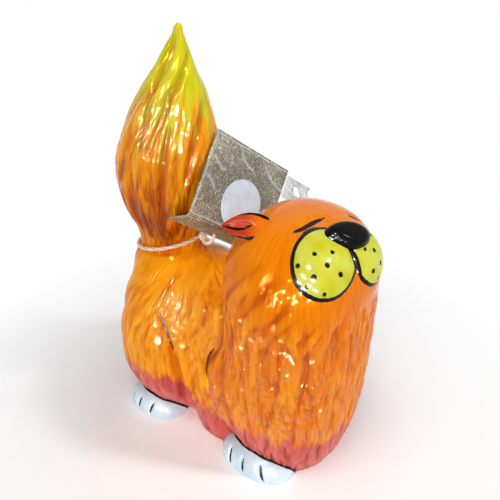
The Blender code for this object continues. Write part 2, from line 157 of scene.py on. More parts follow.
def choose(piece: Piece) -> None:
    """Makes a piece the only one selected, and the active one.

    Args:
        piece: The piece to choose.
    """
    bpy.ops.object.select_all(action="DESELECT")
    piece.select_set(True)
    bpy.context.view_layer.objects.active = piece


def settle(piece: Piece) -> None:
    """Moves a piece's place into its mesh, so that its object sits at the origin."""
    choose(piece)
    bpy.ops.object.transform_apply(location=True, rotation=True, scale=True)


def finish_with(piece: Piece, kind: str, **settings: object) -> None:
    """Adds a modifier to a piece and applies it.

    Args:
        piece: The piece to change.
        kind: The modifier's type.
        settings: The modifier's properties.
    """
    modifier = piece.modifiers.new(kind.lower(), kind)
    for key, value in settings.items():
        setattr(modifier, key, value)
    choose(piece)
    bpy.ops.object.modifier_apply(modifier=modifier.name)


def points_of(piece: Piece) -> np.ndarray:
    """Reads a mesh's vertices as rows of X, Y and Z.

    Args:
        piece: The piece to read.

    Returns:
        One row for each vertex.
    """
    flat = np.empty(len(piece.data.vertices) * 3)
    piece.data.vertices.foreach_get("co", flat)
    return flat.reshape(-1, 3)


def put_points(piece: Piece, points: np.ndarray) -> None:
    """Writes a mesh's vertices from rows of X, Y and Z."""
    piece.data.vertices.foreach_set("co", points.astype(np.float32).ravel())
    piece.data.update()


def put_mark(piece: Piece, mark: Mark, values: np.ndarray) -> None:
    """Writes one number for each vertex, for the finish to read."""
    made = piece.data.attributes.new(mark.value, "FLOAT", "POINT")
    made.data.foreach_set("value", values.astype(np.float32).ravel())


def moved(points: np.ndarray, place: Matrix) -> np.ndarray:
    """Takes rows of local points into the frame by a place's matrix."""
    turn = np.array(place)
    return points @ turn[:3, :3].T + turn[:3, 3]


def face_out(piece: Piece) -> None:
    """Closes a piece's seams and poles, and turns every face outwards.

    Args:
        piece: The piece to close.
    """
    choose(piece)
    bpy.ops.object.mode_set(mode="EDIT")
    bpy.ops.mesh.select_all(action="SELECT")
    bpy.ops.mesh.remove_doubles(threshold=SEAM)
    bpy.ops.mesh.normals_make_consistent(inside=False)
    bpy.ops.object.mode_set(mode="OBJECT")


def pick_faces(piece: Piece, picked: np.ndarray) -> None:
    """Goes into edit mode with some of a piece's faces selected.

    Args:
        piece: The piece to edit.
        picked: Whether each face is selected.
    """
    choose(piece)
    bpy.ops.object.mode_set(mode="EDIT")
    bpy.ops.mesh.select_mode(type="FACE")
    bpy.ops.mesh.select_all(action="DESELECT")
    bpy.ops.object.mode_set(mode="OBJECT")
    piece.data.polygons.foreach_set("select", picked)
    bpy.ops.object.mode_set(mode="EDIT")


def turned(degrees: float, axis: str) -> Matrix:
    """Gives the matrix of a turn about an axis."""
    return Matrix.Rotation(math.radians(degrees), 4, axis)


def rod(name: str, radius: float, length: float, sides: int, at: Place, turn: Place) -> Piece:
    """Adds a cylinder with its place in its mesh.

    Args:
        name: The piece's name.
        radius: Its radius.
        length: Its length.
        sides: How many sides make it round.
        at: Its middle.
        turn: Its turns about X, Y and Z in radians.

    Returns:
        The cylinder.
    """
    add = bpy.ops.mesh.primitive_cylinder_add
    made = begin(name, add, radius=radius, depth=length, vertices=sides, location=at, rotation=turn)
    settle(made)
    return made


def dress(
    piece: Piece,
    body: Body,
    finish: Finish,
    stands_for: Sequence[str] = (),
    crease: float = 180.0,
) -> None:
    """Gives a finished piece its material and its shading, and seats it on its body.

    Args:
        piece: The finished mesh, with its place in its vertices.
        body: The body that it rides on.
        finish: What it is made of.
        stands_for: The solids that it replaces.
        crease: The angle in degrees above which an edge stays sharp.
    """
    piece.data.materials.clear()
    piece.data.materials.append(finish.material())
    choose(piece)
    bpy.ops.object.shade_smooth_by_angle(angle=math.radians(crease))
    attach(piece, body.value)
    if stands_for:
        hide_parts(*stands_for)
    log.info("%s: %d faces on %s", piece.name, len(piece.data.polygons), body.value)


class Recipe:
    """A material's node tree while it is put together."""

    def __init__(self, name: str) -> None:
        """Starts an empty material with one Principled shader.

        Args:
            name: The material's name.
        """
        self.made = bpy.data.materials.new(name)
        self.made.use_nodes = True
        self.nodes = self.made.node_tree.nodes
        self.links = self.made.node_tree.links
        self.shader = self.nodes["Principled BSDF"]
        self.spot = self.add("ShaderNodeTexCoord").outputs["Object"]

    def add(self, kind: str, **settings: object) -> bpy.types.Node:
        """Adds a node and sets its properties.

        Args:
            kind: The node's type.
            settings: Its properties.

        Returns:
            The node.
        """
        node = self.nodes.new(kind)
        for key, value in settings.items():
            setattr(node, key, value)
        return node

    def feed(self, socket: Socket, value: object) -> None:
        """Links a socket to another, or sets it to a constant.

        Args:
            socket: The input.
            value: What it is linked to, or its constant.
        """
        if isinstance(value, Socket):
            self.links.new(value, socket)
        else:
            socket.default_value = value

    def set(self, **inputs: object) -> None:
        """Feeds the shader's own inputs, with a _ for each space in a name."""
        for key, value in inputs.items():
            self.feed(self.shader.inputs[key.replace("_", " ")], value)

    def group(self, made: bpy.types.NodeTree, **inputs: object) -> bpy.types.Node:
        """Places a node group and feeds its inputs.

        Args:
            made: The group's tree.
            inputs: Its inputs, with a _ for each space in a name.

        Returns:
            The group's node.
        """
        node = self.add("ShaderNodeGroup", node_tree=made)
        for key, value in inputs.items():
            self.feed(node.inputs[key.replace("_", " ")], value)
        return node

    def mark(self, mark: Mark) -> Socket:
        """Reads one of the piece's own marks."""
        return self.add("ShaderNodeAttribute", attribute_name=mark.value).outputs["Fac"]

    def mix(self, share: object, first: object, second: object) -> Socket:
        """Mixes two colours by the second one's share.

        Args:
            share: The second colour's share.
            first: The first colour.
            second: The second colour.

        Returns:
            The mixed colour.
        """
        node = self.add("ShaderNodeMix", data_type="RGBA")
        for key, value in zip(MIX_INPUTS, (share, first, second)):
            self.feed(node.inputs[key], value)
        return node.outputs[MIX_OUTPUT]

    def ramp(self, value: object, *stops: tuple[float, Colour]) -> Socket:
        """Reads a colour from stops along a value.

        Args:
            value: Where to read.
            stops: Each stop's place and colour.

        Returns:
            The colour.
        """
        node = self.add("ShaderNodeValToRGB")
        scale = node.color_ramp
        while len(scale.elements) < len(stops):
            scale.elements.new(1.0)
        for element, (at, colour) in zip(scale.elements, stops):
            element.position = at
            element.color = colour
        self.feed(node.inputs["Fac"], value)
        return node.outputs["Color"]

    def spread(self, value: object, low: float, high: float, start: float, end: float) -> Socket:
        """Maps a value from one range to another, held at the ends.

        Args:
            value: The value to map.
            low: Where the first range starts.
            high: Where the first range ends.
            start: What comes out at low.
            end: What comes out at high.

        Returns:
            The mapped value.
        """
        node = self.add("ShaderNodeMapRange")
        self.feed(node.inputs["Value"], value)
        limits = {"From Min": low, "From Max": high, "To Min": start, "To Max": end}
        for key, amount in limits.items():
            node.inputs[key].default_value = amount
        return node.outputs["Result"]

    def sway(self, noise: object, start: float, end: float) -> Socket:
        """Maps a noise, over the values that it mostly has, to a range."""
        return self.spread(noise, *NOISE_SPAN, start, end)

    def maths(self, how: str, *terms: object) -> Socket:
        """Adds one step of arithmetic on its terms.

        Args:
            how: The operation.
            terms: What it works on, in order.

        Returns:
            The result.
        """
        node = self.add("ShaderNodeMath", operation=how)
        for socket, term in zip(node.inputs, terms):
            self.feed(socket, term)
        return node.outputs[0]

    def noise(self, where: object, scale: object, detail: float) -> Socket:
        """Adds a noise that runs from 0 to 1.

        Args:
            where: The place to read it at.
            scale: How fine it is.
            detail: How many finer layers it has.

        Returns:
            The noise.
        """
        node = self.add("ShaderNodeTexNoise")
        for key, value in {"Vector": where, "Scale": scale, "Detail": detail}.items():
            self.feed(node.inputs[key], value)
        return node.outputs["Fac"]

    def sum(self, first: object, second: object) -> Socket:
        """Adds two values."""
        return self.maths("ADD", first, second)

    def rolled(self, around: float, along: float) -> Socket:
        """Gives a place on the sheet that the piece was rolled from, upright as seen from its side.

        Args:
            around: The sheet's width in metres.
            along: Its height in metres.

        Returns:
            The place, with the width as its X and the height as its Z.
        """
        node = self.add("ShaderNodeMapping")
        node.inputs["Rotation"].default_value = (math.pi / 2, 0.0, 0.0)
        node.inputs["Scale"].default_value = (around, along, 1.0)
        self.feed(node.inputs["Vector"], self.add("ShaderNodeUVMap", uv_map="UVMap").outputs["UV"])
        return node.outputs["Vector"]

    def bump(self, height: object, strength: float, distance: float) -> Socket:
        """Turns a height into a normal.

        Args:
            height: The height, from 0 to 1.
            strength: How much of it shows, from 0 to 1.
            distance: What a height of 1 stands for, in metres.

        Returns:
            The normal.
        """
        node = self.add("ShaderNodeBump")
        node.inputs["Strength"].default_value = strength
        node.inputs["Distance"].default_value = distance
        self.feed(node.inputs["Height"], height)
        return node.outputs["Normal"]


class GroupRecipe(Recipe):
    """A shared effect's node tree, with named sockets."""

    def __init__(self, name: str, takes: dict[str, object], gives: Sequence[str]) -> None:
        """Starts a group with its sockets.

        Args:
            name: The group's name.
            takes: Its inputs, each with its default: a number, or None for a vector.
            gives: Its outputs, which are numbers.
        """
        self.tree = bpy.data.node_groups.new(name, "ShaderNodeTree")
        self.nodes = self.tree.nodes
        self.links = self.tree.links
        for key, default in takes.items():
            kind = "NodeSocketVector" if default is None else "NodeSocketFloat"
            socket = self.tree.interface.new_socket(key, in_out="INPUT", socket_type=kind)
            if default is not None:
                socket.default_value = default
        for key in gives:
            self.tree.interface.new_socket(key, in_out="OUTPUT", socket_type="NodeSocketFloat")
        self.taken = self.add("NodeGroupInput").outputs
        self.given = self.add("NodeGroupOutput").inputs


@cache
def brush_line() -> bpy.types.NodeTree:
    """Builds, once, the mask of a painted line from the distance to its edge in millimetres.

    Returns:
        The group, which gives the mask.
    """
    made = GroupRecipe("brush_line", {"Where": None, "Distance": NO_INK, "Softness": 0.12}, ["Mask"])
    wobble = made.maths("SUBTRACT", made.noise(made.taken["Where"], 420.0, 2.0), 0.5)
    edge = made.maths("MULTIPLY_ADD", wobble, 0.5, made.taken["Distance"])
    soft = made.maths("DIVIDE", edge, made.taken["Softness"])
    mask = made.maths("SUBTRACT", 0.5, soft)
    mask.node.use_clamp = True
    made.feed(made.given["Mask"], mask)
    return made.tree


@cache
def brush_streaks() -> bpy.types.NodeTree:
    """Builds, once, the strokes of a loaded brush: wide patches, and fine hairs for relief.

    Returns:
        The group, which gives the patches and the hairs.
    """
    takes = {"Where": None, "Run": 0.12, "Patches": 90.0, "Hairs": 900.0}
    made = GroupRecipe("brush_streaks", takes, ["Patch", "Hair"])
    along = made.add("ShaderNodeCombineXYZ")
    for axis, share in zip("XYZ", (1.0, 1.0, made.taken["Run"])):
        made.feed(along.inputs[axis], share)
    pulled = made.add("ShaderNodeVectorMath", operation="MULTIPLY")
    made.feed(pulled.inputs[0], made.taken["Where"])
    made.feed(pulled.inputs[1], along.outputs[0])
    for name, scale, detail in (("Patch", "Patches", 3.0), ("Hair", "Hairs", 2.0)):
        made.feed(made.given[name], made.noise(pulled.outputs[0], made.taken[scale], detail))
    return made.tree


@cache
def glaze_skin() -> bpy.types.NodeTree:
    """Builds, once, a glaze's own surface, which sets in slow ripples.

    Returns:
        The group, which gives the ripples.
    """
    made = GroupRecipe("glaze_skin", {"Where": None}, ["Ripple"])
    made.feed(made.given["Ripple"], made.noise(made.taken["Where"], RIPPLES, 1.0))
    return made.tree


class Finish:
    """What a piece is made of: a slot and a material that is made once."""

    slot: str = ""

    @cache
    def material(self) -> bpy.types.Material:
        """Hands out the finish's material, built on first use."""
        return self.mixed()

    def mixed(self) -> bpy.types.Material:
        """Builds the material."""
        raise NotImplementedError


@dataclass(frozen=True)
class FurGlaze(Finish):
    """Brushed glaze over carved fur: pale on the ridges, burnt where it pools in the grooves, with painted
    shade at the seams.
    """

    name: str = "fur_glaze"
    slot: str = "orange_glaze"
    ridge: Colour = paint(248, 154, 18)
    middle: Colour = paint(236, 126, 3)
    deep: Colour = paint(222, 104, 0)
    # The burnt colour is the darkest tone: dark locks, and the painted shade on the tail's foot
    burnt_and_shade: Colour = paint(186, 78, 0)
    # The pooled colour is glaze pooled in the hollows, and painted shade along the seams
    pooled_and_seam_shade: Colour = paint(176, 70, 0)
    dye_ridge: Colour = paint(222, 106, 94)
    dye_middle: Colour = paint(192, 66, 60)
    dye_pooled: Colour = paint(148, 42, 36)
    # The crease colour is painted shade where the coats meet, and it also fills the deepest hollows
    crease: Colour = paint(62, 22, 6)
    ink: Colour = paint(20, 17, 16)
    sheen: Colour = paint(255, 172, 24)
    ripple: float = 0.0038
    sheet: Spot = (0.2, 0.16)
    patch: float = 0.1
    hair: float = 0.16
    thin: float = 0.08
    gloss: Spot = (0.05, 0.3)
    polish: Spot = (0.05, 0.1)
    dull: float = 0.35

    def mixed(self) -> bpy.types.Material:
        """Builds the material from the coat's groove and seam shade, tone, dye, ink and curl marks.

        Returns:
            The material.
        """
        made = Recipe(self.name)
        line = made.group(brush_line(), Where=made.spot, Distance=made.mark(Mark.INK), Softness=0.25)
        inked = line.outputs["Mask"]
        coat = made.mix(inked, self._fur(made), self.ink)
        made.set(Base_Color=coat, Specular_IOR_Level=0.15, Specular_Tint=self.sheen)
        thick = made.spread(made.mark(Mark.CURL), 0.0, 1.0, self.thin, 1.0)
        gloss = made.spread(thick, self.thin, 1.0, *self.gloss)
        made.set(Coat_Weight=gloss, Coat_Roughness=0.05, Coat_IOR=1.36)
        skin = made.group(glaze_skin(), Where=made.spot)
        polish = made.sway(skin.outputs["Ripple"], *self.polish)
        made.set(Roughness=made.sum(polish, made.spread(inked, 0.0, 1.0, 0.0, self.dull)))
        depth = made.maths("MULTIPLY", made.noise(made.spot, RIPPLES, 1.0), thick)
        wavy = made.bump(depth, 1.0, self.ripple)
        made.set(Normal=wavy, Coat_Normal=wavy)
        return made.made

    def _fur(self, made: Recipe) -> Socket:
        """Mixes the colours of the fur, from its brushed ridges to its dark creases, which are painted shade
        along the seams.

        Args:
            made: The material's recipe.

        Returns:
            The colour.
        """
        streaks = made.group(brush_streaks(), Where=made.rolled(*self.sheet))
        patch = made.sway(streaks.outputs["Patch"], -self.patch, self.patch)
        hair = made.sway(streaks.outputs["Hair"], -self.hair, self.hair)
        level = made.sum(made.sum(made.mark(Mark.TONE), patch), hair)
        plain = made.ramp(level, (0.0, self.burnt_and_shade), (0.22, self.deep), (0.5, self.middle), (0.9, self.ridge))
        dyed = made.ramp(level, (0.2, self.dye_middle), (0.85, self.dye_ridge))
        dye, groove_and_shade = made.mark(Mark.DYE), made.mark(Mark.GROOVE_AND_SHADE)
        pool = made.mix(dye, self.pooled_and_seam_shade, self.dye_pooled)
        # Hollows take the pooled colour; the seams with other coats take it, then the crease colour, as
        # painted shade
        fur = made.mix(made.spread(groove_and_shade, 0.06, 0.55, 0.0, 0.8), made.mix(dye, plain, dyed), pool)
        return made.mix(made.spread(groove_and_shade, 0.58, 0.86, 0.0, 0.94), fur, self.crease)


@dataclass(frozen=True)
class PaintedGlaze(Finish):
    """A gloss glaze in one brushed colour with painted lines over it."""

    name: str = "painted_glaze"
    slot: str = "white_glaze"
    light: Colour = paint(226, 244, 255)
    dark: Colour = paint(204, 224, 238)
    ink: Colour = paint(16, 15, 16)
    wash: Colour = paint(226, 244, 255)
    patches: float = 110.0
    run: float = 0.6
    gloss: float = 0.32
    mirror: float = 0.05
    polish: Spot = (0.15, 0.28)
    inked: float = 0.75

    def mixed(self) -> bpy.types.Material:
        """Builds the material from the piece's ink mark, and a wash where its dye mark asks for one.

        Returns:
            The material.
        """
        made = Recipe(self.name)
        streaks = made.group(brush_streaks(), Where=made.spot, Patches=self.patches, Run=self.run)
        skin = made.group(glaze_skin(), Where=made.spot)
        ground = made.ramp(streaks.outputs["Patch"], (0.32, self.dark), (0.66, self.light))
        ground = made.mix(made.mark(Mark.DYE), ground, self.wash)
        line = made.group(brush_line(), Where=made.spot, Distance=made.mark(Mark.INK))
        made.set(Base_Color=made.mix(line.outputs["Mask"], ground, self.ink))
        gloss = made.spread(line.outputs["Mask"], 0.0, 1.0, self.gloss, self.inked * self.gloss)
        made.set(Coat_Weight=gloss, Coat_Roughness=0.05, Coat_IOR=1.3, Specular_IOR_Level=self.mirror)
        made.set(Roughness=made.sway(skin.outputs["Ripple"], *self.polish))
        made.set(Normal=made.bump(skin.outputs["Ripple"], 0.25, 0.0006))
        return made.made


@dataclass(frozen=True)
class CordCotton(Finish):
    """Twisted cotton with a fibre along each ply, darker deep between the plies as painted shade."""

    slot: str = "cord_cotton"
    light: Colour = paint(236, 208, 180)
    # The dark colour is the painted shade between the plies
    dark: Colour = paint(176, 134, 104)

    def mixed(self) -> bpy.types.Material:
        """Builds the material from the cord's curl mark, which is deep between the plies, where it paints
        shade.

        Returns:
            The material.
        """
        made = Recipe("cord_cotton")
        streaks = made.group(brush_streaks(), Where=made.spot, Run=0.5, Patches=700.0, Hairs=3200.0)
        # Painted shade: the cord takes the dark colour deep between its plies
        worn = made.mix(made.mark(Mark.CURL), self.light, self.dark)
        fibre = made.sway(streaks.outputs["Patch"], 0.0, 0.3)
        made.set(Base_Color=made.mix(fibre, worn, self.dark), Roughness=0.9, Sheen_Weight=0.3)
        made.set(Normal=made.bump(streaks.outputs["Hair"], 0.6, 0.0003))
        return made.made


@dataclass(frozen=True)
class GlitterCard(Finish):
    """Gold card with a layer of fine silver flakes, each at its own angle."""

    slot: str = "gold_card"
    ground: Colour = paint(118, 104, 58)
    shade: Colour = paint(84, 74, 38)
    flake: Colour = paint(212, 220, 216)

    def mixed(self) -> bpy.types.Material:
        """Builds the material from flakes of two brightnesses over a patchy ground.

        Returns:
            The material.
        """
        made = Recipe("gold_card")
        flakes = made.add("ShaderNodeTexVoronoi")
        flakes.inputs["Scale"].default_value = 1700.0
        made.feed(flakes.inputs["Vector"], made.spot)
        lot = made.add("ShaderNodeSeparateColor")
        made.feed(lot.inputs["Color"], flakes.outputs["Color"])
        streaks = made.group(brush_streaks(), Where=made.spot, Run=1.0, Patches=38.0)
        ground = made.ramp(streaks.outputs["Patch"], (0.35, self.shade), (0.65, self.ground))
        lit = made.spread(streaks.outputs["Patch"], 0.4, 0.6, 0.45, 1.0)
        grey = made.maths("MULTIPLY", lit, made.spread(lot.outputs["Green"], 0.45, 1.0, 0.0, 0.5))
        bright = made.maths("MULTIPLY", lit, made.spread(lot.outputs["Red"], 0.84, 0.95, 0.0, 0.95))
        made.set(Base_Color=made.mix(bright, made.mix(grey, ground, self.flake), self.flake), Metallic=0.45)
        made.set(Roughness=made.spread(lot.outputs["Blue"], 0.0, 1.0, 0.28, 0.5))
        made.set(Normal=made.bump(lot.outputs["Red"], 0.5, 0.0003))
        return made.made


@dataclass(frozen=True)
class ClearFilm(Finish):
    """Crinkled clear film, milky along its folds and its cut edge, where the milk is partly a painted
    highlight for their glints.
    """

    slot: str = "clear_film"
    tint: Colour = paint(226, 232, 238)
    folded: Colour = paint(112, 112, 100)

    def mixed(self) -> bpy.types.Material:
        """Builds the material, more opaque and whiter where the curl mark says that the film is creased,
        partly as painted highlight.

        Returns:
            The material.
        """
        made = Recipe("clear_film")
        streaks = made.group(brush_streaks(), Where=made.spot, Run=0.5, Patches=60.0, Hairs=260.0)
        # Milk along the creases and the edges, partly a painted highlight for their glints
        milk_and_glint = made.spread(made.mark(Mark.CURL), 0.0, 1.0, 0.05, 0.7)
        grey = made.mix(made.mark(Mark.DYE), self.tint, self.folded)
        made.set(Base_Color=grey, Alpha=milk_and_glint, Roughness=0.06, Coat_Weight=1.0, Coat_Roughness=0.03)
        made.set(Normal=made.bump(streaks.outputs["Patch"], 0.5, 0.002))
        return made.made


@dataclass(frozen=True)
class StickerPaper(Finish):
    """Matt white sticker paper, a little grey at its rim."""

    slot: str = "white_paper"
    light: Colour = paint(206, 226, 246)
    grey: Colour = paint(188, 205, 224)

    def mixed(self) -> bpy.types.Material:
        """Builds the material from fine fibres and the rim's curl mark.

        Returns:
            The material.
        """
        made = Recipe("white_paper")
        streaks = made.group(brush_streaks(), Where=made.spot, Run=1.0, Patches=240.0, Hairs=2600.0)
        sheet = made.ramp(streaks.outputs["Patch"], (0.25, self.grey), (0.6, self.light))
        made.set(Base_Color=made.mix(made.mark(Mark.CURL), sheet, self.grey))
        made.set(Roughness=made.spread(streaks.outputs["Hair"], 0.2, 0.8, 0.45, 0.62))
        made.set(Normal=made.bump(streaks.outputs["Hair"], 0.2, 0.0002))
        return made.made


@dataclass(frozen=True)
class Stroke:
    """A painted or incised line through places in millimetres."""

    through: tuple[Place, ...]
    half_width: float = 0.8
    depth: float = 0.0
    taper: float = 0.25
    painted: bool = True

    def on(self, side: Side) -> Stroke:
        """Gives the line on one side of the cat, where it is written for the right."""
        return replace(self, through=tuple((-side.value * x, y, z) for x, y, z in self.through))

    def cut(self, away: np.ndarray) -> np.ndarray:
        """Gives the depth of the incision at distances from the painted edge, in millimetres."""
        over = np.maximum(away + 0.4 * self.half_width, 0) / (1.2 * self.half_width)
        return self.depth * np.exp(-(over**2))

    def line(self) -> np.ndarray:
        """Draws the line as a smooth row of points, in millimetres.

        Returns:
            The points as rows.
        """
        keys = np.array(self.through)
        ends = np.vstack([2 * keys[0] - keys[1], keys, 2 * keys[-1] - keys[-2]])
        drawn = []
        for a, b, c, d in zip(ends, ends[1:], ends[2:], ends[3:]):
            for t in np.linspace(0, 1, CURVE_STEPS, endpoint=False):
                bend = (2 * a - 5 * b + 4 * c - d) * t**2 + (3 * b - a - 3 * c + d) * t**3
                drawn.append(b + ((c - a) * t + bend) / 2)
        return np.array([*drawn, keys[-1]])

    def distance(self, points: np.ndarray) -> np.ndarray:
        """Measures from points to the line's painted edge.

        Args:
            points: Rows of places in millimetres.

        Returns:
            The distance outside the edge in millimetres, below 0 inside.
        """
        line = self.line()
        best = np.full(len(points), np.inf)
        for i, (a, b) in enumerate(zip(line, line[1:])):
            run = b - a
            t = np.clip((points - a) @ run / (run @ run), 0, 1)
            off = np.linalg.norm(points - a - t[:, None] * run, axis=1)
            along = (i + t) / (len(line) - 1)
            thin = np.minimum(1.0, np.minimum(along, 1 - along) / self.taper)
            best = np.minimum(best, off - self.half_width * (0.35 + 0.65 * thin))
        return best


def bell(spread: float) -> np.ndarray:
    """Gives the shares of a bell curve, over three spreads to each side of its middle.

    Args:
        spread: The curve's spread in steps.

    Returns:
        The shares, which add up to 1.
    """
    reach = int(3 * spread)
    shares = np.exp(-0.5 * (np.arange(-reach, reach + 1) / spread) ** 2)
    return shares / shares.sum()


def soften(values: np.ndarray, across: float, along: float) -> np.ndarray:
    """Smooths a grid that closes on itself across and ends along.

    Args:
        values: The grid, with rows along and columns across.
        across: The spread in columns.
        along: The spread in rows.

    Returns:
        The smoothed grid.
    """
    shares = bell(across)
    level = sum(s * np.roll(values, k - len(shares) // 2, axis=1) for k, s in enumerate(shares))
    shares = bell(along)
    held = np.pad(level, ((len(shares) // 2,) * 2, (0, 0)), mode="edge")
    return sum(s * held[k : k + len(values)] for k, s in enumerate(shares))


def eased(value: np.ndarray, low: float, high: float) -> np.ndarray:
    """Rises smoothly from 0 at low to 1 at high."""
    t = np.clip((value - low) / (high - low), 0, 1)
    return t * t * (3 - 2 * t)


def band(value: np.ndarray, starts: float, full: float, falls: float, ends: float) -> np.ndarray:
    """Rises smoothly from 0 to 1 and falls to 0 again.

    Args:
        value: Where to read the band.
        starts: Where it starts to rise.
        full: Where it reaches 1.
        falls: Where it starts to fall.
        ends: Where it is 0 again.

    Returns:
        The band's values.
    """
    return eased(value, starts, full) * (1 - eased(value, falls, ends))


@dataclass
class Skin:
    """A sheet rolled round a solid, as a grid of rows from its foot to its crown."""

    piece: Piece
    index: np.ndarray
    points: np.ndarray

    def normals(self) -> np.ndarray:
        """Works out the grid's outward directions.

        Returns:
            A direction of length 1 for each place.
        """
        across = np.roll(self.points, -1, axis=1) - np.roll(self.points, 1, axis=1)
        along = np.gradient(self.points, axis=0)
        out = np.cross(across, along)
        return out / np.maximum(np.linalg.norm(out, axis=2, keepdims=True), 1e-12)

    def steps(self) -> tuple[np.ndarray, np.ndarray]:
        """Measures the grid's mean steps in millimetres, across and along, for each row.

        Returns:
            The steps across and the steps along.
        """
        across = np.linalg.norm(np.roll(self.points, -1, axis=1) - self.points, axis=2).mean(axis=1)
        along = np.linalg.norm(np.gradient(self.points, axis=0), axis=2).mean(axis=1)
        return across / MM, along / MM

    def tree(self) -> BVHTree:
        """Makes a search tree of the grid as it is now."""
        corners = [Vector(point) for point in self.flat(self.points)]
        return BVHTree.FromPolygons(corners, [face.vertices[:] for face in self.piece.data.polygons])

    def flat(self, grid: np.ndarray) -> np.ndarray:
        """Puts a grid in the order of the sheet's vertices, with its first column again at the seam.

        Args:
            grid: The values by row and column.

        Returns:
            The values by vertex.
        """
        values = np.empty((self.index.size, *grid.shape[2:]))
        values[self.index] = np.concatenate([grid, grid[:, :1]], axis=1)
        return values


@dataclass(frozen=True)
class Lay:
    """One layer of fur locks: how thick, how large, and where they root."""

    density: float
    length: Spot
    half_width: Spot
    depth: float
    roots: Spot
    wave: float = 0.8
    hairs: float = 1.0
    lean: float = 0.15
    cut: bool = False

    def profile(self, half: float, run: np.ndarray) -> tuple[np.ndarray, np.ndarray]:
        """Shapes a lock from its root, 0, to its tip, 1.

        Args:
            half: Half of its greatest width in millimetres.
            run: The places along it.

        Returns:
            Its half widths and its heights at those places, in millimetres.
        """
        if self.cut:
            arch = np.sin(math.pi * run)
            return half * (0.5 + 0.5 * arch), -self.depth * arch**0.6
        width = half * np.minimum(1.0, 0.55 + 1.6 * run) * np.maximum(1 - run**2.6, 0.02) ** 0.75
        rise = (0.25 + 0.75 * eased(run, 0.0, 0.5)) * (1 - 0.8 * eased(run, 0.6, 1.0))
        return width, self.depth * rise


@dataclass
class Fur:
    """The carved relief of a coat, with each lock's own tone and dye, on the grid of its skin."""

    skin: Skin
    seed: int
    sense: int
    dye_at: DyeRule
    lean_at: LeanRule
    dye: np.ndarray
    hair: float = 0.14
    tones: Spot = (0.5, 0.11)
    height: np.ndarray = field(init=False)
    tone: np.ndarray = field(init=False)

    def __post_init__(self) -> None:
        """Starts with no relief."""
        shape = self.skin.points.shape[:2]
        self.height = np.zeros(shape)
        self.tone = np.full(shape, 0.5)
        self.dice = np.random.default_rng(self.seed)
        self.across, self.along = self.skin.steps()

    def comb(self, lay: Lay) -> None:
        """Lays one layer of locks over the last one.

        Args:
            lay: The layer's sizes.
        """
        heights = self.skin.points[:, :, 2].mean(axis=1) / MM
        rooted = (heights >= lay.roots[0]) & (heights <= lay.roots[1])
        allowed = np.flatnonzero(rooted & (self.across > FINEST_STEP))
        areas = (self.across * self.along)[allowed]
        count = int(lay.density * areas.sum() * self.skin.points.shape[1] / 100)
        relief = np.zeros_like(self.height)
        for row in self.dice.choice(allowed, size=count, p=areas / areas.sum()):
            self._lock(lay, int(row), relief)
        self.height = self.height + relief

    def _lock(self, lay: Lay, row: int, relief: np.ndarray) -> None:
        """Lays one lock: broad at its shoulder, raised towards its pointed tip.

        Args:
            lay: The layer's sizes.
            row: The root's row.
            relief: The layer's relief so far, which is raised in place.
        """
        dice = self.dice
        total, columns = self.skin.points.shape[:2]
        length = dice.uniform(*lay.length)
        half = dice.uniform(*lay.half_width)
        column = dice.uniform(0, columns)
        phase = dice.uniform(0, 2 * math.pi)
        lie = self.skin.points[:, int(column) % columns] / MM
        lean = self.lean_at(lie[row]) + dice.normal(0, lay.lean)
        tone = np.clip(dice.normal(*self.tones), 0, 1)
        luck = dice.normal()
        run = row + self.sense * np.arange(max(SHORTEST_LOCK, int(length / self.along[row])))
        run = run[(run >= 0) & (run < total)]
        run = run[self.across[run] > FINEST_STEP]
        if len(run) < SHORTEST_LOCK:
            return
        across = self.across[run]
        share = np.linspace(0, 1, len(run))
        sideways = lean * length * share + lay.wave * np.sin(1.4 * math.pi * share + phase)
        middle = column + sideways / across
        width, rise = lay.profile(half, share)
        reach = int(np.ceil((width / across).max())) + 1
        cells = np.rint(middle).astype(int)[:, None] + np.arange(-reach, reach + 1)
        off = (cells - middle[:, None]) * across[:, None] / width[:, None]
        inside = np.abs(off) < 1
        where = (run[:, None], cells % columns)
        if lay.cut:
            deeper = rise[:, None] * (1 - np.minimum(np.abs(off), 1)) ** 1.3
            relief[where] = np.where(inside, np.minimum(deeper, relief[where]), relief[where])
            return
        hairs = 0.5 - 0.5 * np.cos(2 * math.pi * lay.hairs * off + phase)
        raised = rise[:, None] * (1 - np.abs(off) ** 2.4 - self.hair * hairs)
        better = inside & (raised > relief[where])
        relief[where] = np.where(better, raised, relief[where])
        self.tone[where] = np.where(better, tone + 0.2 * (share[:, None] - 0.5), self.tone[where])
        self.dye[where] = np.where(better, self.dye_at(lie[run], luck)[:, None], self.dye[where])

    def stand(self) -> np.ndarray:
        """Tells how far each place stands above its surroundings, from -1 to 1."""
        depth = max(self.height.std() * 3.0, 1e-9)
        return np.clip((self.height - soften(self.height, 9, 4)) / depth, -1, 1)


@dataclass
class Glazed:
    """A glazed piece that stands for one solid of the figurine."""

    name: str
    node: str
    finish: Finish

    def ball(self, columns: int, rows: int) -> Piece:
        """Adds the ball that a piece is shaped from."""
        return begin(self.name, bpy.ops.mesh.primitive_uv_sphere_add, segments=columns, ring_count=rows)

    def fire(self, piece: Piece) -> None:
        """Closes the shaped piece and seats it on the figurine."""
        face_out(piece)
        dress(piece, Body.FIGURINE, self.finish, [self.node])


